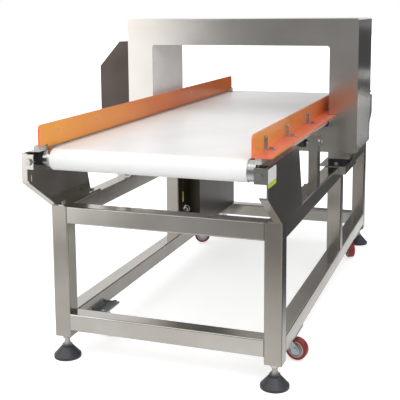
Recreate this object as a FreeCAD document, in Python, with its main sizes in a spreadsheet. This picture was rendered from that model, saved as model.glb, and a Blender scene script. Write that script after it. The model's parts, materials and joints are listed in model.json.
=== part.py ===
import FreeCAD, Part
import math
import os
import re

import Sketcher

# Conveyor metal detector. Millimetres, +Z up, floor at Z = 0.
# Inside each formula, x is counted from the machine's centre plane, y from the middle of the frame
# (negative towards the infeed end) and z from the floor.  The whole machine stands centre_x to the right
# of the origin, so that the origin is the middle of its base.

SIZES = {
    # frame of welded square tube
    "tube": 50,
    "tube_wall": 2,
    "tube_round": 4,
    "frame_width": 680,
    "frame_length": 1500,
    "frame_top": 460,
    "leg_bottom": 70,
    "leg_stub": 20,
    "mid_leg_y": 152,
    # levelling feet
    "foot_radius": 40,
    "foot_rim": 8,
    "foot_cone_top": 32,
    "foot_neck_radius": 15,
    "foot_neck_top": 38,
    "stud_radius": 8,
    "stud_held": 52,
    "nut_flats": 24,
    "nut_thick": 11,
    "boss_thick": 8,
    "thread_gap": 0.1,
    # casters
    "caster_in": 42,
    "caster_from_end": 216,
    "caster_plate_width": 84,
    "caster_plate_length": 100,
    "plate": 4,
    "swivel_plate": 76,
    "caster_bolt_x": 29,
    "caster_bolt_y": 39,
    "wheel_radius": 32.5,
    "wheel_width": 24,
    "wheel_floor_gap": 4,
    "tyre_thick": 9,
    "tyre_gap": 0.1,
    "trail": 36,
    "blade": 2.5,
    "blade_gap": 2,
    "blade_top_half": 17,
    "blade_end": 13,
    "crown_radius": 26,
    "crown_thick": 4,
    "raceway_radius": 22,
    "axle_radius": 5,
    "axle_gap": 0.08,
    # rollers and belt
    "roller_out": 84,
    "conveyor_rise": 153.5,
    "roller_radius": 27.5,
    "roller_end_gap": 2,
    "roller_wall": 3,
    "shaft_radius": 10,
    "shaft_gap": 0.08,
    "belt_gap": 0.3,
    "belt_thick": 2,
    "belt_margin": 25,
    "take_up": 12,
    # conveyor bed
    "rail_in": 40,
    "rail_thick": 16,
    "rail_rise": 12.5,
    "rail_high": 28,
    "rail_past": 38,
    "notch_back": 39,
    "notch_high": 17,
    "bed_thick": 6,
    "bed_end_gap": 50,
    "bar_width": 40,
    "bar_height": 8,
    "bar_from_end": 44,
    # side plates
    "side_thick": 4,
    "side_past": 64,
    "side_front_high": 80,
    "side_above": 10,
    "side_foot_long": 238,
    "side_lean": 53,
    "side_lip": 22,
    "side_front_lip": 17,
    "side_flange": 40,
    "side_bolt_gap": 60,
    "slot_width": 4,
    "slot_length": 18,
    # take-up at the infeed end, bearings at the drive end
    "tab_height": 40,
    "block_gap": 4,
    "block_thick": 27,
    "block_length": 34,
    "block_height": 36,
    "block_round": 6,
    "screw_radius": 5,
    "screw_head_flats": 17,
    "screw_head": 7,
    # return rollers and support posts
    "post_near": 287,
    "post_far": 400,
    "post_length": 45,
    "post_deep": 28,
    "post_foot_deep": 48,
    "return_off": 12,
    "return_drop": 11.5,
    "return_radius": 19,
    "return_end_gap": 4,
    "return_shaft_radius": 6,
    "return_nut_flats": 18,
    # guides
    "guide_in": 7,
    "guide_thick": 5,
    "guide_flange": 52,
    "guide_high": 57,
    "guide_drop": 8,
    "guide_past": 46,
    "guide_short": 3,
    "guide_end": 45,
    "guide_flange_back": 85,
    "guide_flange_narrow": 24,
    "guide_corner": 14,
    "bracket_thick": 3,
    "bracket_width": 13,
    "bracket_edge": 1.5,
    "bracket_edge_high": 6,
    "bracket_high": 36,
    "bracket_foot": 30,
    "bracket_bolt_up": 33,
    "bracket_bolt_in": 18,
    "bracket_from_end": 59,
    "bracket_pitch": 230,
    "bracket_from_head": 21,
    # detector head
    "column_width": 96,
    "head_depth": 304,
    "head_y": 119,
    "head_high": 451,
    "head_wall": 2,
    "head_round": 6,
    "aperture_gap": 5.5,
    "belt_clear": 6.3,
    "aperture_high": 274,
    "aperture_round": 10,
    "liner_thick": 5,
    "coil_wide": 14,
    "coil_deep": 8,
    "coil_pitch": 85,
    # saddles and isolators under the head
    "saddle_in": 70,
    "saddle_out": 25,
    "saddle_before": 54,
    "saddle_behind": 181,
    "saddle_lip": 26,
    "isolator_in": 6,
    "isolator_wide": 60,
    "isolator_high": 27,
    "isolator_before": 31,
    "isolator_behind": 93,
    "head_foot_wide": 92,
    "head_foot_high": 38,
    # console on the left column
    "console_deep": 130,
    "console_behind": 1,
    "console_width": 240,
    "console_low": 101,
    "console_high": 269,
    "console_slope_high": 91,
    "console_slope_in": 80,
    "console_wall": 2.5,
    "display_wide": 100,
    "display_high": 68,
    "display_off": 52,
    "keypad_wide": 48,
    "keypad_off": 30,
    "button_radius": 9,
    "button_gap": 0.3,
    "button_high": 6,
    "button_travel": 3,
    "button_pitch": 48,
    "button_off": 86,
    "collar_wide": 4,
    "switch_plate": 48,
    "switch_radius": 11,
    # electrical cabinet in the left rear bay
    "cabinet_deep": 104,
    "cabinet_from_leg": 47,
    "cabinet_gap": 20,
    "cabinet_foot": 10,
    "cabinet_head_gap": 10,
    "cabinet_wall": 2,
    "cabinet_lip": 16,
    "door_thick": 3,
    "door_gap": 1,
    "seal_thick": 0.7,
    "hinge_in": 18,
    "knuckle_radius": 4.5,
    "pin_radius": 2.5,
    "knuckle_length": 30,
    "leaf": 1.5,
    "lock_in": 30,
    "lock_radius": 8,
    "gland_in": 50,
    "gland_up": 78,
    "gland_radius": 9,
    "component_gap": 20,
    "inverter_deep": 60,
    "inverter_wide": 90,
    "inverter_high": 150,
    "supply_deep": 45,
    "supply_wide": 60,
    "supply_high": 110,
    "terminals_deep": 28,
    "terminals_wide": 150,
    "terminals_high": 42,
    # drive
    "gearbox_stand": 18,
    "gearbox_half": 38,
    "gearbox_long": 96,
    "gearbox_high": 112,
    "worm_drop": 40,
    "motor_radius": 52,
    "gearbox_round": 5,
    "motor_length": 165,
    "motor_flange": 10,
    "fin_high": 9,
    "fin_thick": 2.5,
    "fan_cover": 42,
    "fan_cover_round": 6,
    "terminal_box": 72,
    "terminal_box_high": 24,
}

# Places and sizes that follow from the ones above.
FOLLOWING = {
    "centre_x": "console_deep / 2",
    "stud_top": "leg_bottom + stud_held",
    "caster_x": "frame_width / 2 - caster_in",
    "caster_y": "frame_length / 2 - caster_from_end",
    "rail_inside": "frame_width / 2 - rail_in",
    "roller_y": "frame_length / 2 + roller_out",
    "roller_z": "frame_top + conveyor_rise",
    "roller_half": "rail_inside - roller_end_gap",
    "belt_width": "2 * (rail_inside - belt_margin)",
    "rail_bottom": "roller_z + rail_rise",
    "rail_top": "rail_bottom + rail_high",
    "rail_end": "roller_y + rail_past",
    "rail_notch_y": "roller_y - notch_back",
    "rail_notch_z": "rail_top - notch_high",
    "bed_half_length": "roller_y - bed_end_gap",
    "bar_pitch": "(bed_half_length - bar_from_end) / 2",
    "side_front": "roller_y + side_past",
    "side_top": "rail_bottom + side_above",
    "side_front_bottom": "side_top - side_front_high",
    "side_foot_back": "frame_length / 2 - side_foot_long",
    "side_top_back": "side_foot_back + side_lean",
    "block_inside": "rail_inside + block_gap",
    "block_outside": "block_inside + block_thick",
    "post_inside": "frame_width / 2 - post_deep",
    "post_foot_inside": "frame_width / 2 - post_foot_deep",
    "return_z": "roller_z - return_drop",
    "return_half": "rail_inside - return_end_gap",
    "guide_inside": "rail_inside - guide_in",
    "guide_outside": "guide_inside + guide_flange",
    "guide_narrow": "guide_inside + guide_flange_narrow",
    "guide_top": "rail_top + guide_high",
    "guide_skirt": "rail_top - guide_drop",
    "guide_near": "roller_y + guide_past",
    "guide_far": "roller_y - guide_short",
    "bracket_under": "rail_top + guide_thick",
    "bracket_top": "bracket_under + bracket_high",
    "bracket_bolt_z": "rail_top + bracket_bolt_up",
    "aperture_width": "2 * (rail_inside + rail_thick + aperture_gap)",
    "aperture_bottom": "return_z + return_radius + belt_gap - belt_clear",
    "aperture_top": "aperture_bottom + aperture_high",
    "head_width": "aperture_width + 2 * column_width",
    "head_bottom": "frame_top + plate + isolator_high + head_foot_high",
    "head_top": "head_bottom + head_high",
    "saddle_inside": "frame_width / 2 - saddle_in",
    "saddle_outside": "frame_width / 2 + saddle_out",
    "saddle_front": "head_y - saddle_before",
    "saddle_back": "head_y + saddle_behind",
    "isolator_x": "frame_width / 2 - isolator_in",
    "isolator_front": "head_y - isolator_before",
    "isolator_back": "head_y + isolator_behind",
    "console_y": "head_y + console_behind",
    "console_bottom": "head_bottom + console_low",
    "console_top": "console_bottom + console_high",
    "console_slope_bottom": "console_top - console_slope_high",
    "cabinet_inside": "frame_width / 2 - cabinet_deep",
    "cabinet_front": "mid_leg_y + tube / 2 + cabinet_from_leg",
    "cabinet_back": "frame_length / 2 - tube - cabinet_gap",
    "cabinet_bottom": "leg_bottom + leg_stub + tube + cabinet_foot",
    "cabinet_top": "frame_top - tube - cabinet_head_gap",
    "hinge_y": "cabinet_back - hinge_in",
    "lock_y": "cabinet_front + lock_in",
    "gland_x": "frame_width / 2 - gland_in",
    "gland_z": "cabinet_bottom + gland_up",
}

M8 = {"shank": 4, "flats": 13, "head": 5.3}
M6 = {"shank": 3, "flats": 10, "head": 4}
HOLE_GAP = 0.25

doc = FreeCAD.newDocument("ConveyorMetalDetector")
sheet = doc.addObject("Spreadsheet::Sheet", "Sizes")
nodes = []


# ---------------------------------------------------------------- sheet and formulas

def fill_sheet():
    for row, (name, value) in enumerate(SIZES.items(), 1):
        sheet.set("A%d" % row, name)
        sheet.set("B%d" % row, str(value))
        sheet.setAlias("B%d" % row, name)
    doc.recompute()


def formula(text):
    """The formula with each size written as the sheet's cell."""
    return re.sub(r"[a-z][a-z_0-9]*", lambda word: cell(word.group(0)), str(text))


def cell(word):
    if word in FOLLOWING:
        return "(%s)" % formula(FOLLOWING[word])
    return "Sizes." + word if word in SIZES else word


def number(text):
    """The formula's present value."""
    value = sheet.evalExpression(formula(text))
    return float(getattr(value, "Value", value))


def span(side, inner, outer):
    """A stretch from inner to outer on the right (+1) or, mirrored, on the left (-1)."""
    if side > 0:
        return inner, outer
    return "-(%s)" % outer, "-(%s)" % inner


def flip(side, text):
    return text if side > 0 else "-(%s)" % text


# ---------------------------------------------------------------- sketches

def new_sketch(body, plane, offset):
    sketch = body.newObject("Sketcher::SketchObject", "Sketch")
    origin_plane = next(f for f in body.Origin.OriginFeatures if f.Role == plane + "_Plane")
    sketch.AttachmentSupport = [(origin_plane, "")]
    sketch.MapMode = "FlatFace"
    sketch.setExpression("AttachmentOffset.Base.z", formula(offset))
    return sketch


def bind(sketch, constraint, text):
    index = sketch.addConstraint(constraint)
    sketch.setExpression("Constraints[%d]" % index, formula(text))


def pin_point(sketch, geometry, position, x, y):
    bind(sketch, Sketcher.Constraint("DistanceX", -1, 1, geometry, position, number(x)), x)
    bind(sketch, Sketcher.Constraint("DistanceY", -1, 1, geometry, position, number(y)), y)


def draw_circle(sketch, x, y, radius):
    centre = FreeCAD.Vector(number(x), number(y), 0)
    geometry = sketch.addGeometry(Part.Circle(centre, FreeCAD.Vector(0, 0, 1), number(radius)))
    pin_point(sketch, geometry, 3, x, y)
    bind(sketch, Sketcher.Constraint("Radius", geometry, number(radius)), radius)


class Corner:
    """A corner of an outline, rounded where its point has a third value, the radius."""

    def __init__(self, point, place, before, after):
        self.x = point[0]
        self.y = point[1]
        self.radius = point[2] if len(point) > 2 else None
        self.place = place
        self.enter = place
        self.leave = place
        if self.radius is None:
            return
        back = (before - place).normalize()
        ahead = (after - place).normalize()
        half = back.getAngle(ahead) / 2
        radius = number(self.radius)
        self.enter = place + back * (radius / math.tan(half))
        self.leave = place + ahead * (radius / math.tan(half))
        self.centre = place + (back + ahead).normalize() * (radius / math.sin(half))
        self.left_turn = ahead.cross(back).z > 0

    def draw_arc(self, sketch):
        first, last = (self.enter, self.leave) if self.left_turn else (self.leave, self.enter)
        start = math.atan2(first.y - self.centre.y, first.x - self.centre.x)
        end = math.atan2(last.y - self.centre.y, last.x - self.centre.x)
        if end < start:
            end += 2 * math.pi
        circle = Part.Circle(self.centre, FreeCAD.Vector(0, 0, 1), number(self.radius))
        arc = sketch.addGeometry(Part.ArcOfCircle(circle, start, end))
        bind(sketch, Sketcher.Constraint("Radius", arc, number(self.radius)), self.radius)
        return arc


def draw_outline(sketch, points):
    """A closed outline of straight sides; every corner is held at its formula's place."""
    places = [FreeCAD.Vector(number(p[0]), number(p[1]), 0) for p in points]
    count = len(points)
    corners = []
    for i, point in enumerate(points):
        corners.append(Corner(point, places[i], places[i - 1], places[(i + 1) % count]))
    lines = []
    for i, corner in enumerate(corners):
        following = corners[(i + 1) % count]
        lines.append(sketch.addGeometry(Part.LineSegment(corner.leave, following.enter)))
    for i, corner in enumerate(corners):
        before, after = lines[i - 1], lines[i]
        if corner.radius is None:
            sketch.addConstraint(Sketcher.Constraint("Coincident", before, 2, after, 1))
            pin_point(sketch, after, 1, corner.x, corner.y)
            continue
        arc = corner.draw_arc(sketch)
        first, last = (1, 2) if corner.left_turn else (2, 1)
        sketch.addConstraint(Sketcher.Constraint("Tangent", before, 2, arc, first))
        sketch.addConstraint(Sketcher.Constraint("Tangent", arc, last, after, 1))
        mark = sketch.addGeometry(Part.Point(corner.place), True)
        sketch.addConstraint(Sketcher.Constraint("PointOnObject", mark, 1, before))
        sketch.addConstraint(Sketcher.Constraint("PointOnObject", mark, 1, after))
        pin_point(sketch, mark, 1, corner.x, corner.y)


def draw_belt(sketch, radius, rise):
    """A belt's loop: over both end rollers, level along the top, and lifted by rise on the way back."""
    size, level, reach = number(radius), number("roller_z"), number("roller_y")
    ends = []
    for sign, start in ((1, -math.pi / 2), (-1, math.pi / 2)):
        circle = Part.Circle(FreeCAD.Vector(sign * reach, level, 0), FreeCAD.Vector(0, 0, 1), size)
        arc = sketch.addGeometry(Part.ArcOfCircle(circle, start, start + math.pi))
        pin_point(sketch, arc, 3, "%d * roller_y" % sign, "roller_z")
        ends.append(arc)
    far, near = ends
    flat = reach - number("take_up") - 4
    places = [FreeCAD.Vector(-reach, level - size, 0), FreeCAD.Vector(-flat, level - size, 0),
              FreeCAD.Vector(number(return_y(-1)), number(rise), 0),
              FreeCAD.Vector(number(return_y(1)), number(rise), 0),
              FreeCAD.Vector(flat, level - size, 0), FreeCAD.Vector(reach, level - size, 0)]
    under = [sketch.addGeometry(Part.LineSegment(a, b)) for a, b in zip(places, places[1:])]
    top = sketch.addGeometry(Part.LineSegment(FreeCAD.Vector(reach, level + size, 0),
                                              FreeCAD.Vector(-reach, level + size, 0)))
    sketch.addConstraint(Sketcher.Constraint("Tangent", far, 2, top, 1))
    sketch.addConstraint(Sketcher.Constraint("Tangent", top, 2, near, 1))
    sketch.addConstraint(Sketcher.Constraint("Tangent", near, 2, under[0], 1))
    sketch.addConstraint(Sketcher.Constraint("Tangent", under[-1], 2, far, 1))
    for before, after in zip(under, under[1:]):
        sketch.addConstraint(Sketcher.Constraint("Coincident", before, 2, after, 1))
    pin_point(sketch, under[2], 1, return_y(-1), rise)
    pin_point(sketch, under[2], 2, return_y(1), rise)
    sketch.addConstraint(Sketcher.Constraint("Horizontal", under[0]))
    sketch.addConstraint(Sketcher.Constraint("Horizontal", under[-1]))
    level_end = "roller_y - take_up - 4"
    bind(sketch, Sketcher.Constraint("DistanceX", -1, 1, under[0], 2, -flat), "-(%s)" % level_end)
    bind(sketch, Sketcher.Constraint("DistanceX", -1, 1, under[-1], 1, flat), level_end)
    bind(sketch, Sketcher.Constraint("Radius", far, size), radius)


def draw(sketch, shape):
    if shape[0] == "circle":
        draw_circle(sketch, *shape[1:])
    elif shape[0] == "belt":
        draw_belt(sketch, *shape[1:])
    else:
        draw_outline(sketch, shape)


def box_outline(x0, y0, x1, y1, radius=None):
    corners = [(x0, y0), (x1, y0), (x1, y1), (x0, y1)]
    if radius is None:
        return corners
    return [corner + (radius,) for corner in corners]


# ---------------------------------------------------------------- features of a body

def new_body(label):
    body = doc.addObject("PartDesign::Body", label)
    body.Label = label
    body.setExpression("Placement.Base.x", formula("centre_x"))
    return body


def place(thing, x, y, z, axis=None, angle=0):
    """Puts a piece that is drawn about its own origin at (x, y, z), turned about axis."""
    if axis is not None:
        thing.Placement = FreeCAD.Placement(FreeCAD.Vector(0, 0, 0),
                                            FreeCAD.Rotation(FreeCAD.Vector(*axis), angle))
    thing.setExpression("Placement.Base.x", formula("centre_x + (%s)" % x))
    thing.setExpression("Placement.Base.y", formula(y))
    thing.setExpression("Placement.Base.z", formula(z))


def pad(body, plane, start, end, *shapes):
    """Material between two levels along the plane's axis: Z for XY, Y for XZ, X for YZ."""
    offset = "-(%s)" % end if plane == "XZ" else start
    sketch = new_sketch(body, plane, offset)
    for shape in shapes:
        draw(sketch, shape)
    feature = body.newObject("PartDesign::Pad", "Pad")
    feature.Profile = sketch
    feature.setExpression("Length", formula("(%s) - (%s)" % (end, start)))
    return feature


def cut(body, plane, start, end, *shapes):
    """Removes what lies between two levels along the plane's axis."""
    offset = "-(%s)" % start if plane == "XZ" else end
    sketch = new_sketch(body, plane, offset)
    for shape in shapes:
        draw(sketch, shape)
    feature = body.newObject("PartDesign::Pocket", "Pocket")
    feature.Profile = sketch
    feature.setExpression("Length", formula("(%s) - (%s)" % (end, start)))
    return feature


def turn(body, outline):
    """A piece turned about its own Z axis; the outline's points are (radius, height)."""
    sketch = new_sketch(body, "XZ", "0")
    draw_outline(sketch, outline)
    feature = body.newObject("PartDesign::Revolution", "Revolution")
    feature.Profile = sketch
    feature.ReferenceAxis = (sketch, ["V_Axis"])
    feature.Angle = 360
    return feature


def repeat_round(body, feature, count):
    """The feature repeated round the axis through its sketch's origin."""
    pattern = body.newObject("PartDesign::PolarPattern", "PolarPattern")
    pattern.Originals = [feature]
    pattern.Axis = (feature.Profile[0], ["N_Axis"])
    pattern.Angle = 360
    pattern.Occurrences = count
    body.Tip = pattern


def round_edges(body, feature, radius, axis, level):
    """A fillet on the feature's edges that lie at one level along an axis."""
    doc.recompute()
    names = []
    for i, edge in enumerate(feature.Shape.Edges, 1):
        box = edge.BoundBox
        low, high = getattr(box, axis + "Min"), getattr(box, axis + "Max")
        if abs(low - number(level)) < 0.01 and abs(high - number(level)) < 0.01:
            names.append("Edge%d" % i)
    fillet = body.newObject("PartDesign::Fillet", "Fillet")
    fillet.Base = (feature, names)
    fillet.setExpression("Radius", formula(radius))
    return fillet


def node(thing):
    """A finished piece, written under its own label."""
    nodes.append(thing)
    return thing


def group(label, parts):
    """Several like pieces in one node, as separate solids."""
    compound = doc.addObject("Part::Compound", label)
    compound.Label = label
    compound.Links = parts
    return node(compound)


def hex_bolt(kind, length, x, y, z, axis=None, angle=0):
    """A hexagon bolt: its head stands on the origin along +Z and its shank goes down along -Z."""
    head = doc.addObject("Part::Prism", "Head")
    head.Polygon = 6
    head.Circumradius = kind["flats"] / math.sqrt(3)
    head.Height = kind["head"]
    shank = doc.addObject("Part::Cylinder", "Shank")
    shank.Radius = kind["shank"]
    shank.setExpression("Height", formula("(%s) + 1" % length))
    shank.setExpression("Placement.Base.z", formula("-(%s)" % length))
    bolt = doc.addObject("Part::Fuse", "Bolt")
    bolt.Base = head
    bolt.Tool = shank
    place(bolt, x, y, z, axis, angle)
    return bolt


UP = None
DOWN = ((1, 0, 0), 180)
FRONT = ((1, 0, 0), 90)
BACK = ((1, 0, 0), -90)
RIGHT = ((0, 1, 0), 90)
LEFT = ((0, 1, 0), -90)


def bolt_towards(way, kind, length, x, y, z):
    if way is None:
        return hex_bolt(kind, length, x, y, z)
    return hex_bolt(kind, length, x, y, z, *way)


SIDES = (("left", -1), ("right", 1))
ENDS = (("near", -1), ("far", 1))
bolts = []
lock_nuts = []
screws = []


# ---------------------------------------------------------------- frame

HEAD_FRONT = "(head_y - head_depth / 2)"
HEAD_BACK = "(head_y + head_depth / 2)"
RETURN_TOP = "(return_z + return_radius + belt_gap)"


def post_y(end):
    return "post_far" if end > 0 else "-post_near"


def return_y(end):
    """Return rollers hang off centre in their posts, on the side towards the head."""
    return "(post_far - return_off)" if end > 0 else "-(post_near - return_off)"


def square_tube(label, plane, start, end, x0, y0):
    """A tube along the plane's axis, with its corner at (x0, y0) in the plane's own directions."""
    x1 = "%s + tube" % x0
    y1 = "%s + tube" % y0
    hole = box_outline("%s + tube_wall" % x0, "%s + tube_wall" % y0, "%s - tube_wall" % x1,
                       "%s - tube_wall" % y1, "tube_round - tube_wall")
    body = new_body(label)
    pad(body, plane, start, end, box_outline(x0, y0, x1, y1, "tube_round"), hole)
    return body


def corner_leg(label, side, end):
    x0, x1 = span(side, "frame_width / 2 - tube", "frame_width / 2")
    y0, y1 = span(end, "frame_length / 2 - tube", "frame_length / 2")
    body = new_body(label)
    pad(body, "XY", "leg_bottom", "frame_top", box_outline(x0, y0, x1, y1, "tube_round"))
    hollow = box_outline("%s + tube_wall" % x0, "%s + tube_wall" % y0, "%s - tube_wall" % x1,
                         "%s - tube_wall" % y1, "tube_round - tube_wall")
    cut(body, "XY", "leg_bottom", "frame_top - tube_wall", hollow)
    return body


def frame():
    legs = []
    for side_name, side in SIDES:
        for end_name, end in ENDS:
            legs.append(corner_leg("corner_leg_%s_%s" % (end_name, side_name), side, end))
            legs.append(foot_boss("foot_boss_%s_%s" % (end_name, side_name), side, end))
    group("corner_legs", legs)

    low = "leg_bottom + leg_stub"
    high = "frame_top - tube"
    mid_legs = []
    side_rails = []
    for side_name, side in SIDES:
        x0, x1 = span(side, "frame_width / 2 - tube", "frame_width / 2")
        mid_legs.append(square_tube("mid_leg_" + side_name, "XY", low + " + tube", high,
                                    x0, "mid_leg_y - tube / 2"))
        for level_name, level in (("lower", low), ("upper", high)):
            side_rails.append(square_tube("%s_side_rail_%s" % (level_name, side_name), "XZ",
                                          "-(frame_length / 2 - tube)", "frame_length / 2 - tube",
                                          x0, level))
    group("mid_legs", mid_legs)
    group("side_rails", side_rails)

    cross_rails = []
    for end_name, end in ENDS:
        y0, y1 = span(end, "frame_length / 2 - tube", "frame_length / 2")
        for level_name, level in (("lower", low), ("upper", high)):
            cross_rails.append(square_tube("%s_cross_rail_%s" % (level_name, end_name), "YZ",
                                           "-(frame_width / 2 - tube)", "frame_width / 2 - tube",
                                           y0, level))
    group("cross_rails", cross_rails)


# ---------------------------------------------------------------- levelling feet

LEG_X = "(frame_width - tube) / 2"
LEG_Y = "(frame_length - tube) / 2"


def foot_boss(label, side, end):
    """The threaded block welded inside the foot of a leg."""
    body = new_body(label)
    half = "(tube / 2 - tube_wall)"
    pad(body, "XY", "0", "boss_thick",
        box_outline("-" + half, "-" + half, half, half, "tube_round - tube_wall"),
        ("circle", "0", "0", "stud_radius + thread_gap"))
    place(body, flip(side, LEG_X), flip(end, LEG_Y), "leg_bottom")
    return body


def hexagon(flats):
    reach = "(%s) / sqrt(3)" % flats
    half = "(%s) / 2" % flats
    return [(reach, "0"), ("(%s) / 2" % reach, half), ("-(%s) / 2" % reach, half), ("-(%s)" % reach, "0"),
            ("-(%s) / 2" % reach, "-(%s)" % half), ("(%s) / 2" % reach, "-(%s)" % half)]


def levelling_foot(side_name, side, end_name, end):
    """Pad with its ball neck, the threaded stud and the lock nut under the leg."""
    name = "levelling_foot_%s_%s" % (end_name, side_name)
    foot_pad = new_body(name + "_pad")
    turn(foot_pad, [("0", "0"), ("foot_radius", "0"), ("foot_radius", "foot_rim"),
                    ("foot_radius - 3", "foot_rim + 3"), ("foot_neck_radius + 3", "foot_cone_top", "6"),
                    ("foot_neck_radius", "foot_cone_top + 1"), ("foot_neck_radius", "foot_neck_top"),
                    ("0", "foot_neck_top")])
    stud = new_body(name + "_stud")
    turn(stud, [("0", "foot_neck_top"), ("stud_radius", "foot_neck_top"),
                ("stud_radius", "stud_top - 1.5"), ("stud_radius - 1.5", "stud_top"), ("0", "stud_top")])
    pad(stud, "XY", "foot_neck_top", "foot_neck_top + 6", hexagon("nut_flats - 6"))
    nut = new_body(name + "_lock_nut")
    pad(nut, "XY", "leg_bottom - nut_thick - belt_gap", "leg_bottom - belt_gap", hexagon("nut_flats"),
        ("circle", "0", "0", "stud_radius + thread_gap"))
    for piece in (foot_pad, stud, nut):
        place(piece, flip(side, LEG_X), flip(end, LEG_Y), "0")
    group(name, [foot_pad, stud])
    lock_nuts.append(nut)


# ---------------------------------------------------------------- casters

RAIL_UNDER = "(leg_bottom + leg_stub)"
WHEEL_Z = "(wheel_radius + wheel_floor_gap)"
SWIVEL_TOP = "(leg_bottom + leg_stub - 2 * plate)"
CASTER_TURNS = {("near", "left"): -20, ("near", "right"): -8, ("far", "left"): 200, ("far", "right"): -60}


def caster_plates():
    """Per caster a mounting plate under the lower side rail and the caster's own top plate."""
    plates = []
    for side_name, side in SIDES:
        for end_name, end in ENDS:
            welded = new_body("caster_mounting_plate_%s_%s" % (end_name, side_name))
            half_x = "caster_plate_width / 2"
            half_y = "caster_plate_length / 2"
            pad(welded, "XY", "0", "plate", box_outline("-" + half_x, "-" + half_y, half_x, half_y, "5"))
            top = new_body("caster_top_plate_%s_%s" % (end_name, side_name))
            half = "swivel_plate / 2"
            pad(top, "XY", "-plate", "0", box_outline("-" + half, "-%s - 12" % half, half,
                                                      "%s + 12" % half, "8"))
            holes = []
            for x in ("caster_bolt_x", "-caster_bolt_x"):
                for y in ("caster_bolt_y", "-caster_bolt_y"):
                    holes.append(("circle", x, y, M8["shank"] + HOLE_GAP))
            cut(top, "XY", "-plate", "0", *holes)
            cut(welded, "XY", "0", "plate", *holes)
            for piece in (welded, top):
                place(piece, flip(side, "caster_x"), flip(end, "caster_y"), RAIL_UNDER + " - plate")
                plates.append(piece)
            for y in ("caster_bolt_y", "-caster_bolt_y"):
                bolt_y = "%s + %s" % (flip(end, "caster_y"), y)
                bolts.append(bolt_towards(UP, M8, "2 * plate + 4", flip(side, "caster_x - caster_bolt_x"),
                                          bolt_y, RAIL_UNDER))
                bolts.append(bolt_towards(DOWN, M8, "2 * plate", flip(side, "caster_x + caster_bolt_x"),
                                          bolt_y, SWIVEL_TOP))
    group("caster_plates", plates)


def caster_fork(side_name, side, end_name, end):
    """Swivel crown with its raceway, two blades, and the axle bolt through them."""
    name = "caster_fork_%s_%s" % (end_name, side_name)
    crown_top = SWIVEL_TOP + " - belt_gap"
    crown_under = "(%s - 5 - crown_thick)" % crown_top
    fork = new_body(name + "_body")
    crown_level = crown_under + " + crown_thick"
    turn(fork, [("0", crown_under), ("crown_radius - 2", crown_under),
                ("crown_radius", crown_under + " + 2"), ("crown_radius", crown_level),
                ("raceway_radius", crown_level), ("raceway_radius - 3", crown_top), ("0", crown_top)])
    reach = "wheel_width / 2 + blade_gap + blade"
    blade_top = crown_under + " + 1"
    blade_under = WHEEL_Z + " - 14"
    blade_outline = [("-blade_top_half", blade_top), ("blade_top_half", blade_top),
                     ("trail + blade_end", WHEEL_Z + " + 4", "10"), ("trail + blade_end", blade_under, "10"),
                     ("trail - blade_end", blade_under, "10"), ("trail - blade_end", WHEEL_Z + " - 2", "4")]
    pad(fork, "XZ", "-(%s)" % reach, reach, blade_outline)
    gap = "wheel_width / 2 + blade_gap"
    cut(fork, "XZ", "-(%s)" % gap, gap,
        [("-blade_top_half - 30", "0"), ("trail + 40", "0"), ("trail + 40", crown_under),
         ("-blade_top_half - 30", crown_under)])
    cut(fork, "XZ", "-(%s + 1)" % reach, "%s + 1" % reach,
        ("circle", "trail", WHEEL_Z, "axle_radius + axle_gap"))
    axle = new_body(name + "_axle")
    pad(axle, "XZ", "-(%s + 2)" % reach, "%s + 2" % reach, ("circle", "trail", WHEEL_Z, "axle_radius"))
    head = [("trail + (%s)" % x, WHEEL_Z + " + (%s)" % z) for x, z in hexagon("14")]
    pad(axle, "XZ", reach, "%s + 4" % reach, head)
    pad(axle, "XZ", "-(%s + 5)" % reach, "-(%s)" % reach, head)
    for piece in (fork, axle):
        place(piece, flip(side, "caster_x"), flip(end, "caster_y"), "0", (0, 0, 1),
              CASTER_TURNS[end_name, side_name])
    group(name, [fork, axle])


def caster_wheel(side_name, side, end_name, end):
    """Wheel core on its axle bore and the polyurethane tyre round it, turned about the axle."""
    name = "caster_wheel_%s_%s" % (end_name, side_name)
    half = "wheel_width / 2"
    rim = "(wheel_radius - tyre_thick)"
    core = new_body(name + "_core")
    bore = "axle_radius + axle_gap"
    turn(core, [(bore, "-%s - 1" % half), ("axle_radius + 5", "-%s - 1" % half), ("axle_radius + 5", "-4"),
                (rim + " - 3", "-4"), (rim + " - 3", "-%s + 1" % half), (rim, "-%s + 1" % half),
                (rim, half + " - 1"), (rim + " - 3", half + " - 1"), (rim + " - 3", "4"),
                ("axle_radius + 5", "4"), ("axle_radius + 5", half + " + 1"), (bore, half + " + 1")])
    tyre = new_body(name + "_tyre")
    turn(tyre, [(rim + " + tyre_gap", "-" + half), ("wheel_radius", "-" + half, "4"),
                ("wheel_radius", half, "4"), (rim + " + tyre_gap", half)])
    turned = math.radians(CASTER_TURNS[end_name, side_name])
    x = "%s + trail * %.9f" % (flip(side, "caster_x"), math.cos(turned))
    y = "%s + trail * %.9f" % (flip(end, "caster_y"), math.sin(turned))
    for piece in (core, tyre):
        rotation = FreeCAD.Rotation(FreeCAD.Vector(0, 0, 1), CASTER_TURNS[end_name, side_name])
        rotation = rotation.multiply(FreeCAD.Rotation(FreeCAD.Vector(1, 0, 0), 90))
        piece.Placement = FreeCAD.Placement(FreeCAD.Vector(0, 0, 0), rotation)
        place(piece, x, y, WHEEL_Z)
    group(name, [core, tyre])


# ---------------------------------------------------------------- conveyor: side plates and bed

LIP = "side_thick"
SIDE_IN = "(frame_width / 2 - side_thick)"
SIDE_OUT = "(frame_width / 2)"
TAB_TOP = "(roller_z + tab_height / 2)"
TAB_UNDER = "(roller_z - tab_height / 2)"


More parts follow.
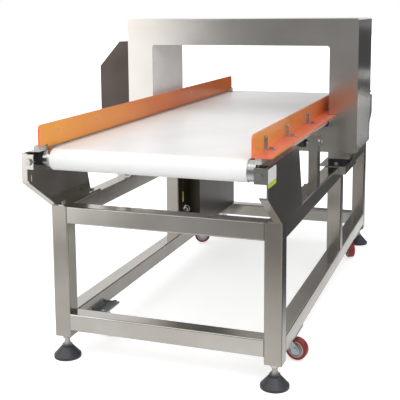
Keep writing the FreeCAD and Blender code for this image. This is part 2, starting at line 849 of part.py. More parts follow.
def side_plate(side_name, side, end_name, end):
    """Bent sheet that carries the end of the conveyor: panel, foot flange, lips and the take-up tab.

    The same bent part serves near left and, turned half round, far right: it has a lip down its front."""
    body = new_body("side_plate_%s_%s" % (end_name, side_name))
    x0, x1 = span(side, SIDE_IN, SIDE_OUT)
    front = "side_front"
    panel = [(front, "side_top"), (front, "side_front_bottom"), ("frame_length / 2", "frame_top"),
             ("side_foot_back", "frame_top"), ("side_top_back", "side_top")]
    pad(body, "YZ", x0, x1, [(flip(end, y), z) for y, z in panel])

    flange0, flange1 = span(side, "frame_width / 2 - side_flange", SIDE_IN)
    foot0, foot1 = span(end, "side_foot_back + 2", "frame_length / 2")
    pad(body, "XY", "frame_top", "frame_top + side_thick",
        box_outline(flange0, foot0, flange1, foot1))

    lip0, lip1 = span(side, "frame_width / 2 - side_lip", SIDE_IN)
    lip = [(front, "side_front_bottom"), ("frame_length / 2", "frame_top"),
           ("frame_length / 2", "frame_top + 5"), (front, "side_front_bottom + 5")]
    pad(body, "YZ", lip0, lip1, [(flip(end, y), z) for y, z in lip])

    top0, top1 = span(side, "rail_inside + rail_thick", SIDE_IN)
    run0, run1 = span(end, "side_top_back", "rail_end - 2")
    pad(body, "XY", "side_top - side_thick", "side_top", box_outline(top0, run0, top1, run1))

    tab0, tab1 = span(side, "block_inside", SIDE_IN)
    face0, face1 = span(end, "side_front - side_thick", "side_front")
    pad(body, "XZ", face0, face1, box_outline(tab0, TAB_UNDER, tab1, TAB_TOP))
    if side == end:
        front0, front1 = span(side, "frame_width / 2 - side_front_lip", SIDE_IN)
        pad(body, "XZ", face0, face1, box_outline(front0, "side_front_bottom", front1, "side_top"))

    slots = []
    for y, z in (("side_front - 42", "side_top - 66"), ("side_front - 190", "side_top - 32")):
        near, far = "%s - slot_width / 2" % y, "%s + slot_width / 2" % y
        y0, y1 = span(end, near, far)
        slots.append(box_outline(y0, "%s - slot_length" % z, y1, z, "slot_width / 2 - 0.1"))
    cut(body, "YZ", x0, x1, *slots)
    screw_x = flip(side, "(block_inside + block_outside) / 2")
    cut(body, "XZ", face0, face1, ("circle", screw_x, "roller_z", "screw_radius + 0.3"))
    flange_holes = []
    for y in ("frame_length / 2 - side_bolt_gap / 2", "side_foot_back + side_bolt_gap / 2"):
        x = flip(side, "frame_width / 2 - 24")
        flange_holes.append(("circle", x, flip(end, y), M8["shank"] + HOLE_GAP))
        bolts.append(bolt_towards(UP, M8, "side_thick", x, flip(end, y), "frame_top + side_thick"))
    cut(body, "XY", "frame_top", "frame_top + side_thick", *flange_holes)
    if end > 0:
        cut(body, "YZ", x0, x1, ("circle", "roller_y", "roller_z", "shaft_radius + 1.5"))
    screws.append(adjusting_screw(side, end))
    return body


def adjusting_screw(side, end):
    """Screw through the tab that sets the bearing block of a roller."""
    screw = new_body("adjusting_screw")
    x = flip(side, "(block_inside + block_outside) / 2")
    shank0, shank1 = span(end, "roller_y + block_length / 2 + belt_gap", "side_front + screw_head")
    pad(screw, "XZ", shank0, shank1, ("circle", x, "roller_z", "screw_radius"))
    head0, head1 = span(end, "side_front", "side_front + screw_head")
    head = [("%s + (%s)" % (x, u), "roller_z + (%s)" % w) for u, w in hexagon("screw_head_flats")]
    pad(screw, "XZ", head0, head1, head)
    return screw


def bed():
    """Non-metal side rails, cross bars and slider plate, so that only belt and board pass the head."""
    rails = []
    for side_name, side in SIDES:
        rail = new_body("bed_side_rail_" + side_name)
        x0, x1 = span(side, "rail_inside", "rail_inside + rail_thick")
        outline = [("-rail_end", "rail_top"), ("-rail_end", "rail_notch_z"),
                   ("-rail_notch_y", "rail_notch_z"), ("-rail_notch_y", "rail_bottom"),
                   ("rail_notch_y", "rail_bottom"),
                   ("rail_notch_y", "rail_notch_z"), ("rail_end", "rail_notch_z"), ("rail_end", "rail_top")]
        pad(rail, "YZ", x0, x1, outline)
        rails.append(rail)
    group("bed_side_rails", rails)

    bars = []
    for i in range(-2, 3):
        bar = new_body("bed_bar_%d" % (i + 3))
        middle = "%d * bar_pitch" % i
        y0, y1 = middle + " - bar_width / 2", middle + " + bar_width / 2"
        pad(bar, "XY", BED_UNDER + " - bar_height", BED_UNDER,
            box_outline("-rail_inside", y0, "rail_inside", y1))
        bars.append(bar)
    group("bed_cross_bars", bars)

    slider = new_body("slider_bed")
    half = "(rail_inside - belt_gap)"
    pad(slider, "XY", BED_UNDER, BED_TOP,
        box_outline("-" + half, "-bed_half_length", half, "bed_half_length"))
    node(slider)


BED_TOP = "(roller_z + roller_radius)"
BED_UNDER = "(roller_z + roller_radius - bed_thick)"


# ---------------------------------------------------------------- rollers, belt and take-up

def belt():
    body = new_body("belt")
    pad(body, "YZ", "-belt_width / 2", "belt_width / 2",
        ("belt", "roller_radius + belt_gap + belt_thick", RETURN_TOP),
        ("belt", "roller_radius + belt_gap", RETURN_TOP + " + belt_thick"))
    node(body)


def infeed_roller():
    """Idle roller that turns on a dead shaft held by two sliding blocks."""
    roller = new_body("infeed_roller")
    bore = "shaft_radius + shaft_gap"
    inner = "roller_radius - roller_wall"
    turn(roller, [("roller_radius - 1", "-roller_half"), ("roller_radius", "-roller_half + 1"),
                  ("roller_radius", "roller_half - 1"), ("roller_radius - 1", "roller_half"),
                  (bore, "roller_half"), (bore, "roller_half - 14"), (inner, "roller_half - 14"),
                  (inner, "-roller_half + 14"), (bore, "-roller_half + 14"), (bore, "-roller_half")])
    place(roller, "0", "-roller_y", "roller_z", *RIGHT)
    node(roller)

    shaft = new_body("infeed_roller_shaft")
    reach = "block_outside - 6"
    turn(shaft, [("0", "-(%s)" % reach), ("shaft_radius - 1", "-(%s)" % reach),
                 ("shaft_radius", "-(%s) + 1" % reach), ("shaft_radius", reach + " - 1"),
                 ("shaft_radius - 1", reach), ("0", reach)])
    place(shaft, "0", "-roller_y", "roller_z", *RIGHT)
    node(shaft)

    blocks = []
    for side_name, side in SIDES:
        block = new_body("take_up_block_" + side_name)
        x0, x1 = span(side, "block_inside", "block_outside")
        pad(block, "YZ", x0, x1, bearing_outline("-roller_y"))
        cut(block, "YZ", *span(side, "block_inside", "block_outside - 6"),
            ("circle", "-roller_y", "roller_z", "shaft_radius + 0.02"))
        blocks.append(block)
    group("take_up_blocks", blocks)


def bearing_outline(y):
    half, rise = "block_length / 2", "block_height / 2"
    return box_outline("%s - %s" % (y, half), "roller_z - " + rise, "%s + %s" % (y, half),
                       "roller_z + " + rise, "block_round")


DRIVE_END = "-(frame_width / 2 + gearbox_stand + 2 * gearbox_half - 2)"


def drive_roller():
    """Lagged drum welded to its live shaft, which runs in two bearings and into the gearbox."""
    roller = new_body("drive_roller")
    turn(roller, [("0", DRIVE_END), ("shaft_radius", DRIVE_END),
                  ("shaft_radius", "-roller_half"), ("roller_radius - 1", "-roller_half"),
                  ("roller_radius", "-roller_half + 1"), ("roller_radius", "roller_half - 1"),
                  ("roller_radius - 1", "roller_half"), ("shaft_radius", "roller_half"),
                  ("shaft_radius", "block_outside + 3"), ("0", "block_outside + 3")])
    place(roller, "0", "roller_y", "roller_z", *RIGHT)
    node(roller)

    bearings = []
    for side_name, side in SIDES:
        bearing = new_body("drive_bearing_" + side_name)
        x0, x1 = span(side, "block_inside", SIDE_IN)
        pad(bearing, "YZ", x0, x1, bearing_outline("roller_y"))
        cut(bearing, "YZ", x0, x1, ("circle", "roller_y", "roller_z", "shaft_radius + shaft_gap"))
        bearings.append(bearing)
    group("drive_bearings", bearings)


def return_rollers():
    """Two rollers that lift the returning belt, on dead shafts held in the slots of the posts."""
    shafts = []
    for end_name, end in ENDS:
        roller = new_body("return_roller_" + end_name)
        bore = "return_shaft_radius + shaft_gap"
        inner = "return_radius - 2"
        turn(roller, [("return_radius - 1", "-return_half"), ("return_radius", "-return_half + 1"),
                      ("return_radius", "return_half - 1"), ("return_radius - 1", "return_half"),
                      (bore, "return_half"), (bore, "return_half - 10"), (inner, "return_half - 10"),
                      (inner, "-return_half + 10"), (bore, "-return_half + 10"), (bore, "-return_half")])
        place(roller, "0", return_y(end), "return_z", *RIGHT)
        node(roller)
        shaft = new_body("return_roller_shaft_" + end_name)
        reach = "(frame_width / 2 + 9)"
        turn(shaft, [("0", "-" + reach), ("return_shaft_radius - 1", "-" + reach),
                     ("return_shaft_radius", "-%s + 1" % reach), ("return_shaft_radius", reach + " - 1"),
                     ("return_shaft_radius - 1", reach), ("0", reach)])
        for start, end_level in (("frame_width / 2", "frame_width / 2 + 7"),
                                 ("-(frame_width / 2 + 7)", "-(frame_width / 2)")):
            pad(shaft, "XY", start, end_level, hexagon("return_nut_flats"))
        for start, end_level in (("frame_width / 2", "frame_width / 2 + 1.5"),
                                 ("-(frame_width / 2 + 1.5)", "-(frame_width / 2)")):
            pad(shaft, "XY", start, end_level, ("circle", "0", "0", "return_nut_flats / 2 + 3"))
        place(shaft, "0", return_y(end), "return_z", *RIGHT)
        shafts.append(shaft)
    group("return_roller_shafts", shafts)


def support_posts():
    """Channel posts from the frame up to the bed, with a foot plate, a cap and a slot for the shaft."""
    posts = []
    for side_name, side in SIDES:
        for end_name, end in ENDS:
            post = new_body("support_post_%s_%s" % (end_name, side_name))
            middle = post_y(end)
            y0, y1 = middle + " - post_length / 2", middle + " + post_length / 2"
            x0, x1 = span(side, "post_inside", SIDE_OUT)
            web0, web1 = span(side, SIDE_IN, SIDE_OUT)
            pad(post, "YZ", web0, web1, box_outline(y0, "frame_top", y1, "rail_bottom"))
            for face0, face1 in ((y0, y0 + " + plate"), (y1 + " - plate", y1)):
                pad(post, "XZ", face0, face1, box_outline(x0, "frame_top", x1, "rail_bottom"))
            cap0, cap1 = span(side, "rail_inside", SIDE_OUT)
            pad(post, "XY", "rail_bottom - plate", "rail_bottom", box_outline(cap0, y0, cap1, y1))
            foot0, foot1 = span(side, "post_foot_inside", SIDE_OUT)
            pad(post, "XY", "frame_top", "frame_top + plate", box_outline(foot0, y0, foot1, y1))
            slot_half = "(return_shaft_radius + 0.06)"
            slot0 = "%s - %s" % (return_y(end), slot_half)
            slot1 = "%s + %s" % (return_y(end), slot_half)
            cut(post, "YZ", web0, web1,
                box_outline(slot0, "return_z - 14", slot1, "return_z + 14", "return_shaft_radius - 0.5"))
            hole_x = flip(side, "post_foot_inside + 9")
            cut(post, "XY", "frame_top", "frame_top + plate",
                ("circle", hole_x, middle, M8["shank"] + HOLE_GAP))
            bolts.append(bolt_towards(UP, M8, "plate", hole_x, middle, "frame_top + plate"))
            posts.append(post)
    group("support_posts", posts)


# ---------------------------------------------------------------- drive

def drive():
    """Worm gearbox flanged on the left of the discharge end, with its motor lying along the conveyor."""
    gearbox = new_body("gearbox")
    inner_face = "(frame_width / 2 + gearbox_stand)"
    x0, x1 = span(-1, inner_face, "(%s + 2 * gearbox_half)" % inner_face)
    under = "roller_z - worm_drop - gearbox_high / 4"
    housing = pad(gearbox, "YZ", x0, x1,
                  box_outline("roller_y - gearbox_long / 2", under, "roller_y + gearbox_long / 2",
                              under + " + gearbox_high", "14"))
    round_edges(gearbox, housing, "gearbox_round", "X", x0)
    pad(gearbox, "YZ", x1, "-frame_width / 2", ("circle", "roller_y", "roller_z", "gearbox_half - 6"))
    pad(gearbox, "YZ", "-frame_width / 2 - 6", "-frame_width / 2",
        ("circle", "roller_y", "roller_z", "gearbox_half + 2"))
    cut(gearbox, "YZ", x0, "-frame_width / 2", ("circle", "roller_y", "roller_z", "shaft_radius + shaft_gap"))
    pad(gearbox, "YZ", x0 + " - 4", x0, ("circle", "roller_y", "roller_z", "gearbox_half - 10"))
    node(gearbox)
    node(drive_motor())


def drive_motor():
    """Fan-cooled motor: flange, finned housing with its terminal box, and the fan's cover with its slots."""
    motor = new_body("drive_motor")
    tail = "-(motor_length + fan_cover)"
    pad(motor, "XZ", "-motor_flange", "0", ("circle", "0", "0", "motor_radius"))
    pad(motor, "XZ", "-motor_length", "-motor_flange", ("circle", "0", "0", "motor_radius - fin_high"))
    fin = pad(motor, "XZ", "-motor_length", "-motor_flange",
              box_outline("-fin_thick / 2", "motor_radius - fin_high - 2", "fin_thick / 2", "motor_radius - 1"))
    repeat_round(motor, fin, 24)
    cover = pad(motor, "XZ", tail, "-motor_length", ("circle", "0", "0", "motor_radius"))
    round_edges(motor, cover, "fan_cover_round", "Y", tail)
    vent = cut(motor, "XZ", tail, tail + " + 3", box_outline("-2", "16", "2", "motor_radius - 12", "1.5"))
    repeat_round(motor, vent, 12)
    box_half = "terminal_box / 2"
    pad(motor, "XZ", "-motor_flange - 20 - terminal_box", "-motor_flange - 20",
        box_outline("-" + box_half, "motor_radius - 12", box_half, "motor_radius + terminal_box_high", "5"))
    place(motor, "-(frame_width / 2 + gearbox_stand + gearbox_half)", "roller_y - gearbox_long / 2",
          "roller_z - worm_drop")
    return motor


# ---------------------------------------------------------------- guides

OUTER_BRACKET = "(roller_y - bracket_from_end)"
INNER_BRACKET = "(roller_y - bracket_from_end - bracket_pitch)"
BRACKET_PLACES = ("-" + OUTER_BRACKET, "-" + INNER_BRACKET, "-(post_near - return_off)",
                  "(%s + bracket_from_head)" % HEAD_BACK, INNER_BRACKET, OUTER_BRACKET)


def guides():
    brackets = []
    for side_name, side in SIDES:
        body = new_body(side_name + "_guide")
        x0, x1 = span(side, "guide_inside", "guide_inside + guide_thick")
        pad(body, "YZ", x0, x1,
            [("-guide_near", "guide_top", "guide_corner"), ("-guide_near", "rail_top"),
             ("-guide_near + guide_end", "rail_top"), ("-guide_near + guide_end", "guide_skirt"),
             ("guide_far - guide_end", "guide_skirt"), ("guide_far - guide_end", "rail_top"),
             ("guide_far", "rail_top"), ("guide_far", "guide_top", "guide_corner")])
        flange0, flange1 = span(side, "guide_inside + guide_thick", "guide_outside")
        flange_near = "-guide_near" if side > 0 else "-(guide_near - guide_flange_back)"
        pad(body, "XY", "rail_top", "rail_top + guide_thick",
            box_outline(flange0, flange_near, flange1, "guide_far"))
        narrow0, narrow1 = span(side, "guide_narrow", "guide_outside")
        cut(body, "XY", "rail_top", "rail_top + guide_thick",
            box_outline(narrow0, HEAD_FRONT + " - 8", narrow1, HEAD_BACK + " + 8"))
        way = RIGHT if side > 0 else LEFT
        plate_holes = []
        flange_holes = []
        bolt_x = flip(side, "guide_inside + guide_thick + bracket_bolt_in")
        for y in BRACKET_PLACES:
            plate_holes.append(("circle", y, "bracket_bolt_z", M6["shank"] + HOLE_GAP))
            flange_holes.append(("circle", bolt_x, y, M6["shank"] + HOLE_GAP))
            brackets.append(guide_bracket(side, y))
            bolts.append(bolt_towards(way, M6, "guide_thick + bracket_thick + 0.5",
                                      flip(side, "guide_inside + guide_thick + bracket_thick"), y,
                                      "bracket_bolt_z"))
            bolts.append(bolt_towards(UP, M6, "guide_thick + bracket_thick", bolt_x, y,
                                      "rail_top + guide_thick + bracket_thick"))
        cut(body, "YZ", x0, x1, *plate_holes)
        cut(body, "XY", "rail_top", "rail_top + guide_thick", *flange_holes)
        node(body)
    group("guide_brackets", brackets)


def guide_bracket(side, y):
    """Angle that stiffens a guide: a leg with raised edges, and a foot bolted on the guide's flange."""
    body = new_body("guide_bracket")
    face = "guide_inside + guide_thick"
    x0, x1 = span(side, face, face + " + bracket_thick")
    under = "bracket_under"
    half = "bracket_width / 2"
    pad(body, "YZ", x0, x1, box_outline("-" + half, under, half, "bracket_top"))
    edge0, edge1 = span(side, face + " + bracket_thick", face + " + bracket_edge_high")
    edge_top = "bracket_bolt_z - 8"
    for y0, y1 in (("-bracket_width / 2", "-bracket_width / 2 + bracket_edge"),
                   ("bracket_width / 2 - bracket_edge", "bracket_width / 2")):
        pad(body, "YZ", edge0, edge1, box_outline(y0, under, y1, edge_top))
    foot0, foot1 = span(side, face + " + bracket_thick", face + " + bracket_foot")
    pad(body, "XY", under, under + " + bracket_thick", box_outline(foot0, "-" + half, foot1, half))
    cut(body, "YZ", x0, x1, ("circle", "0", "bracket_bolt_z", M6["shank"] + HOLE_GAP))
    cut(body, "XY", under, under + " + bracket_thick",
        ("circle", flip(side, face + " + bracket_bolt_in"), "0", M6["shank"] + HOLE_GAP))
    body.setExpression("Placement.Base.y", formula(y))
    return body


# ---------------------------------------------------------------- detector head

def detector_head():
    shell = new_body("head_shell")
    outer = box_outline("-head_width / 2", "head_bottom", "head_width / 2", "head_top", "head_round")
    aperture = box_outline("-aperture_width / 2", "aperture_bottom", "aperture_width / 2", "aperture_top",
                           "aperture_round")
    pad(shell, "XZ", HEAD_FRONT, HEAD_BACK, outer, aperture)
    cavity = box_outline("-(head_width / 2 - head_wall)", "head_bottom + head_wall",
                         "head_width / 2 - head_wall", "head_top - head_wall", "head_round - head_wall")
    cut(shell, "XZ", HEAD_FRONT + " + head_wall", HEAD_BACK + " - head_wall", cavity)
    node(shell)

    liner = new_body("aperture_liner")
    liner_outer = box_outline("-(aperture_width / 2 + liner_thick)", "aperture_bottom - liner_thick",
                              "aperture_width / 2 + liner_thick", "aperture_top + liner_thick",
                              "aperture_round + liner_thick")
    pad(liner, "XZ", HEAD_FRONT + " + head_wall", HEAD_BACK + " - head_wall", liner_outer, aperture)
    node(liner)

    coils = []
    for i in (-1, 0, 1):
        coil = new_body("search_coil_%d" % (i + 2))
        off = "liner_thick + belt_gap"
        inner = box_outline("-(aperture_width / 2 + %s)" % off, "aperture_bottom - (%s)" % off,
                            "aperture_width / 2 + %s" % off, "aperture_top + %s" % off,
                            "aperture_round + liner_thick")
        outside = "liner_thick + belt_gap + coil_deep"
        outer = box_outline("-(aperture_width / 2 + %s)" % outside, "aperture_bottom - (%s)" % outside,
                            "aperture_width / 2 + %s" % outside, "aperture_top + %s" % outside,
                            "aperture_round + liner_thick + coil_deep")
        middle = "head_y + %d * coil_pitch" % i
        pad(coil, "XZ", middle + " - coil_wide / 2", middle + " + coil_wide / 2", outer, inner)
        coils.append(coil)
    group("search_coils", coils)


def head_mounts():
    """Saddle plates on the side rails, and on each two rubber isolators under the head's feet."""
    saddles = []
    isolators = []
    feet = []
    for side_name, side in SIDES:
        saddle = new_body("saddle_plate_" + side_name)
        x0, x1 = span(side, "saddle_inside", "saddle_outside")
        pad(saddle, "XY", "frame_top", "frame_top + plate",
            box_outline(x0, "saddle_front", x1, "saddle_back"))
        edge0, edge1 = span(side, "saddle_outside - plate", "saddle_outside")
        pad(saddle, "YZ", edge0, edge1,
            box_outline("saddle_front", "frame_top - saddle_lip", "saddle_back", "frame_top"))
        lip0, lip1 = span(side, "frame_width / 2 + 1", "saddle_outside")
        pad(saddle, "XZ", "saddle_front", "saddle_front + plate",
            box_outline(lip0, "frame_top - saddle_lip", lip1, "frame_top"))
        saddles.append(saddle)
        for y in ("isolator_front", "isolator_back"):
            block = new_body("isolator_" + side_name)
            half = "isolator_wide / 2"
            pad(block, "XY", "0", "isolator_high", box_outline("-" + half, "-" + half, half, half, "4"))
            foot = new_body("head_foot_" + side_name)
            reach = "head_foot_wide / 2"
            pad(foot, "XY", "isolator_high", "head_bottom - frame_top - plate",
                box_outline("-" + half, "-" + half, reach, half) if side > 0
                else box_outline("-" + reach, "-" + half, half, half))
            for piece in (block, foot):
                place(piece, flip(side, "isolator_x"), y, "frame_top + plate")
            isolators.append(block)
            feet.append(foot)
            bolts.append(bolt_towards(FRONT, M8, "0", flip(side, "isolator_x"),
                                      y + " - isolator_wide / 2", "frame_top + plate + 10"))
    group("saddle_plates", saddles)
    group("isolators", isolators)
    group("head_feet", feet)


# ---------------------------------------------------------------- console

COLUMN_FACE = "(head_width / 2)"
SLOPE_RISE = "console_slope_high"
SLOPE_X = "-(head_width / 2 + console_deep - console_slope_in / 2)"
SLOPE_Z = "(console_top - console_slope_high / 2)"


def on_slope(thing, along, up):
    """Puts a piece, drawn about its own origin with +Z outwards, on the sloped panel."""
    lean = math.degrees(math.atan2(number(SLOPE_RISE), number("console_slope_in")))
    radians = math.radians(lean)
    thing.Placement = FreeCAD.Placement(FreeCAD.Vector(0, 0, 0),
                                        FreeCAD.Rotation(FreeCAD.Vector(0, 1, 0), -lean))
    place(thing, "%s + (%s) * %.9f" % (SLOPE_X, up, math.cos(radians)), "console_y + (%s)" % along,
          "%s + (%s) * %.9f" % (SLOPE_Z, up, math.sin(radians)))


def console():
    case = new_body("console_case")
    face = "-" + COLUMN_FACE
    front = "-(head_width / 2 + console_deep)"
    knee = "-(head_width / 2 + console_deep - console_slope_in)"
    y0, y1 = "console_y - console_width / 2", "console_y + console_width / 2"
    pad(case, "XZ", y0, y1,
        [(face, "console_bottom"), (front, "console_bottom"), (front, "console_slope_bottom"),
         (knee, "console_top"), (face, "console_top")])
    wall = "console_wall"
    inner = [(face, "console_bottom + " + wall), (front + " + " + wall, "console_bottom + " + wall),
             (front + " + " + wall, "console_slope_bottom - 1"),
             (knee + " + 1", "console_top - " + wall), (face, "console_top - " + wall)]
    cut(case, "XZ", y0 + " + " + wall, y1 + " - " + wall, inner)
    node(case)

    display = new_body("display_window")
    half_high, half_wide = "display_high / 2", "display_wide / 2"
    pad(display, "XY", "0", "1.5", box_outline("-" + half_high, "-" + half_wide, half_high, half_wide, "4"))
    on_slope(display, "-display_off", "0")
    node(display)

    keypad = new_body("membrane_keypad")
    half_wide = "keypad_wide / 2"
    pad(keypad, "XY", "0", "1", box_outline("-" + half_high, "-" + half_wide, half_high, half_wide, "4"))
    on_slope(keypad, "keypad_off", "0")
    node(keypad)


def panel_controls():
    """Two push buttons in collars on the sloped panel, and the rotary power switch on the far side."""
    collars = []
    for label, up in (("start_button", "button_pitch / 2"), ("stop_button", "-button_pitch / 2")):
        collar = new_body(label + "_collar")
        pad(collar, "XY", "0", "button_high", ("circle", "0", "0", "button_radius + collar_wide"),
            ("circle", "0", "0", "button_radius + button_gap"))
        on_slope(collar, "button_off", up)
        collars.append(collar)
        button = new_body(label)
        bottom = "button_travel + 0.5"
        turn(button, [("0", bottom), ("button_radius", bottom), ("button_radius", "button_high + 2"),
                      ("button_radius - 1.5", "button_high + 3.5"), ("0", "button_high + 3.5")])
        on_slope(button, "button_off", up)
        node(button)
    plate = new_body("power_switch_plate")
    half = "switch_plate / 2"
    pad(plate, "XY", "0", "3", box_outline("-" + half, "-" + half, half, half, "5"))
    pad(plate, "XY", "3", "6", ("circle", "0", "0", "switch_radius + collar_wide"),
        ("circle", "0", "0", "switch_radius + button_gap"))
    knob = new_body("power_switch")
    turn(knob, [("0", "3.4"), ("switch_radius", "3.4"), ("switch_radius", "11"),
                ("switch_radius - 1", "12"), ("0", "12")])
    grip = "(switch_radius - 1)"
    pad(knob, "XY", "12", "19", box_outline("-3.5", "-" + grip, "3.5", grip, "2"))
    for piece in (plate, knob):
        place(piece, "-(head_width / 2 + console_deep / 2)", "console_y + console_width / 2",
              "console_bottom + 90", *BACK)
    collars.append(plate)
    group("control_collars", collars)
    node(knob)


# ---------------------------------------------------------------- electrical cabinet

CABINET_FACE = "(frame_width / 2 - door_thick - door_gap)"
DOOR_BACK = "(hinge_y - 3)"


def cabinet():
    case = new_body("cabinet_case")
    x0, x1 = "-" + CABINET_FACE, "-cabinet_inside"
    wall = "cabinet_wall"
    pad(case, "YZ", x0, x1,
        box_outline("cabinet_front", "cabinet_bottom", "cabinet_back", "cabinet_top", "5"))
    pad(case, "YZ", "-frame_width / 2", x0,
        box_outline("hinge_y + 3", "cabinet_bottom", "cabinet_back", "cabinet_top"))
    for y in ("cabinet_front + 20", "cabinet_back - 60"):
        pad(case, "XY", "leg_bottom + leg_stub + tube", "cabinet_bottom",
            box_outline("-(frame_width / 2 - 5)", y, "-(frame_width / 2 - 45)", y + " + 40"))
    cut(case, "YZ", x0 + " + " + wall, x1 + " - " + wall,
        box_outline("cabinet_front + " + wall, "cabinet_bottom + " + wall,
                    "cabinet_back - " + wall, "cabinet_top - " + wall, "3"))
    cut(case, "YZ", x0, x0 + " + " + wall,
        box_outline("cabinet_front + cabinet_lip", "cabinet_bottom + cabinet_lip",
                    DOOR_BACK + " - 8", "cabinet_top - cabinet_lip", "6"))
    cut(case, "XZ", "cabinet_front", "cabinet_front + " + wall,
        ("circle", "-gland_x", "gland_z", "gland_radius - 1"))
    node(case)

    door = new_body("cabinet_door")
    pad(door, "YZ", "-frame_width / 2", "-(frame_width / 2 - door_thick)",
        box_outline("cabinet_front", "cabinet_bottom", DOOR_BACK, "cabinet_top", "3"))
    cut(door, "YZ", "-frame_width / 2", "-(frame_width / 2 - door_thick)",
        ("circle", "lock_y", LOCK_Z, "lock_radius + 0.08"))
    node(door)

    seal = new_body("door_seal")
    pad(seal, "YZ", x0 + " - seal_thick", x0,
        box_outline("cabinet_front + 2", "cabinet_bottom + 2", DOOR_BACK + " - 1", "cabinet_top - 2", "3"),
        box_outline("cabinet_front + cabinet_lip - 4", "cabinet_bottom + cabinet_lip - 4",
                    DOOR_BACK + " - 7", "cabinet_top - cabinet_lip + 4", "3"))
    node(seal)
    door_hinges()
    door_lock()
    cable_gland()
    cabinet_components()


LOCK_Z = "((cabinet_bottom + cabinet_top) / 2)"
HINGE_X = "-(frame_width / 2 + knuckle_radius + 0.2)"


def door_hinges():
    """Two hinges: the case's leaf with the pin, and the door's leaf whose knuckle turns on it."""
    fixed = []
    moving = []
    for z in ("cabinet_bottom + 40", "cabinet_top - 40 - 2 * knuckle_length"):
        leaf = new_body("hinge_case_leaf")
        knuckle = ("circle", HINGE_X, "hinge_y", "knuckle_radius")
        leaf_top = z + " + 2 * knuckle_length"
        pad(leaf, "XY", z, z + " + knuckle_length", knuckle)
        pad(leaf, "XY", z, z + " + knuckle_length",
            box_outline("-(frame_width / 2 + leaf)", "hinge_y", "-frame_width / 2", "cabinet_back - 3"))
        pad(leaf, "XY", z + " + knuckle_length", leaf_top, ("circle", HINGE_X, "hinge_y", "pin_radius"))
        fixed.append(leaf)
        turning = new_body("hinge_door_leaf")
        start = z + " + knuckle_length + belt_gap"
        pad(turning, "XY", start, leaf_top, knuckle)
        pad(turning, "XY", start, leaf_top,
            box_outline("-(frame_width / 2 + leaf)", "hinge_y - 17", "-frame_width / 2", "hinge_y"))
        cut(turning, "XY", start, leaf_top, ("circle", HINGE_X, "hinge_y", "pin_radius + 0.06"))
        moving.append(turning)
    group("hinge_case_leaves", fixed)
    group("hinge_door_leaves", moving)


def door_lock():
    """Quarter-turn lock: slotted barrel through the door and a cam that swings behind the case's lip."""
    lock = new_body("door_lock")
    turn(lock, [("0", "-12"), ("5", "-12"), ("5", "-5"), ("lock_radius", "-5"), ("lock_radius", "0.3"),
                ("lock_radius + 4", "0.3"), ("lock_radius + 4", "4"), ("lock_radius + 2", "6"), ("0", "6")])
    pad(lock, "XY", "-12", "-9", box_outline("-6", "-6", "24", "6", "3"))
    cut(lock, "XY", "3.5", "6", box_outline("-8", "-1.5", "8", "1.5"))
    place(lock, "-frame_width / 2", "lock_y", LOCK_Z, *LEFT)
    node(lock)


def cable_gland():
    gland = new_body("cable_gland")
    body_radius = "(gland_radius - 1.3)"
    turn(gland, [("0", "-8"), (body_radius, "-8"), (body_radius, "0"), ("gland_radius + 4", "0"),
                 ("gland_radius + 4", "6"), ("gland_radius + 2", "8"), ("gland_radius", "16"),
                 ("gland_radius - 3", "19"), ("4", "19"), ("4", "6"), ("0", "6")])
    pad(gland, "XY", "0", "5", hexagon("2 * gland_radius + 10"))
    place(gland, "-gland_x", "cabinet_front", "gland_z", *FRONT)
    node(gland)


def cabinet_components():
    """Mounting plate on the back wall with the speed drive, a power supply and a row of terminals."""
    back = "-(cabinet_inside + cabinet_wall + 3)"
    plate = new_body("mounting_plate")
    pad(plate, "YZ", back + " - 2", back,
        box_outline("cabinet_front + 20", "cabinet_bottom + 18", "cabinet_back - 20", "cabinet_top - 18"))
    for y in ("cabinet_front + 28", "cabinet_back - 36"):
        pad(plate, "YZ", back, "-(cabinet_inside + cabinet_wall)",
            box_outline(y, "cabinet_bottom + 26", y + " + 8", "cabinet_top - 26"))
    parts = [plate]
    face = back + " - 2"
    y = "cabinet_front + 2 * component_gap"
    for name, rows in (("inverter", 3), ("supply", 4), ("terminals", 5)):
        box = new_body(name)
        z = "cabinet_bottom + %d * component_gap" % rows
        end = "%s + %s_wide" % (y, name)
        pad(box, "YZ", "%s - %s_deep" % (face, name), face,
            box_outline(y, z, end, "%s + %s_high" % (z, name), "3"))
        parts.append(box)
        y = end + " + component_gap"
    group("cabinet_components", parts)


# ---------------------------------------------------------------- build and write

def build():
    fill_sheet()
    frame()
    plates = []
    for end_name, end in ENDS:
        for side_name, side in SIDES:
            levelling_foot(side_name, side, end_name, end)
            caster_fork(side_name, side, end_name, end)
            caster_wheel(side_name, side, end_name, end)
            plates.append(side_plate(side_name, side, end_name, end))
    group("side_plates", plates)
    caster_plates()
    bed()
    belt()
    infeed_roller()
    drive_roller()
    return_rollers()
    support_posts()
    drive()
    guides()
    detector_head()
    head_mounts()
    console()
    panel_controls()
    cabinet()
    group("foot_lock_nuts", lock_nuts)
    group("adjusting_screws", screws)
    group("bolts", bolts)


def check():
    for thing in doc.Objects:
        if "Invalid" in thing.State or "Error" in thing.State:
            raise RuntimeError("%s (%s) failed: %s" % (thing.Label, thing.Name, thing.State))
        if thing.TypeId == "PartDesign::Pocket":
            before = thing.BaseFeature.Shape.Volume
            if before - thing.Shape.Volume < 0.01:
                piece = thing.getParentGeoFeatureGroup().Label
                raise RuntimeError("%s cuts nothing in %s" % (thing.Name, piece))
    for thing in nodes:
        shape = thing.Shape
        if shape.isNull() or not shape.isValid() or not shape.Solids:
            raise RuntimeError("%s has no valid solid" % thing.Label)


def write():
    os.makedirs("parts", exist_ok=True)
    for thing in nodes:
        thing.Shape.exportStep("parts/%s.step" % thing.Label)


build()
doc.recompute()
check()
write()
print("%d nodes, %d solids" % (len(nodes), sum(len(thing.Shape.Solids) for thing in nodes)))
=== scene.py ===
import json
import math

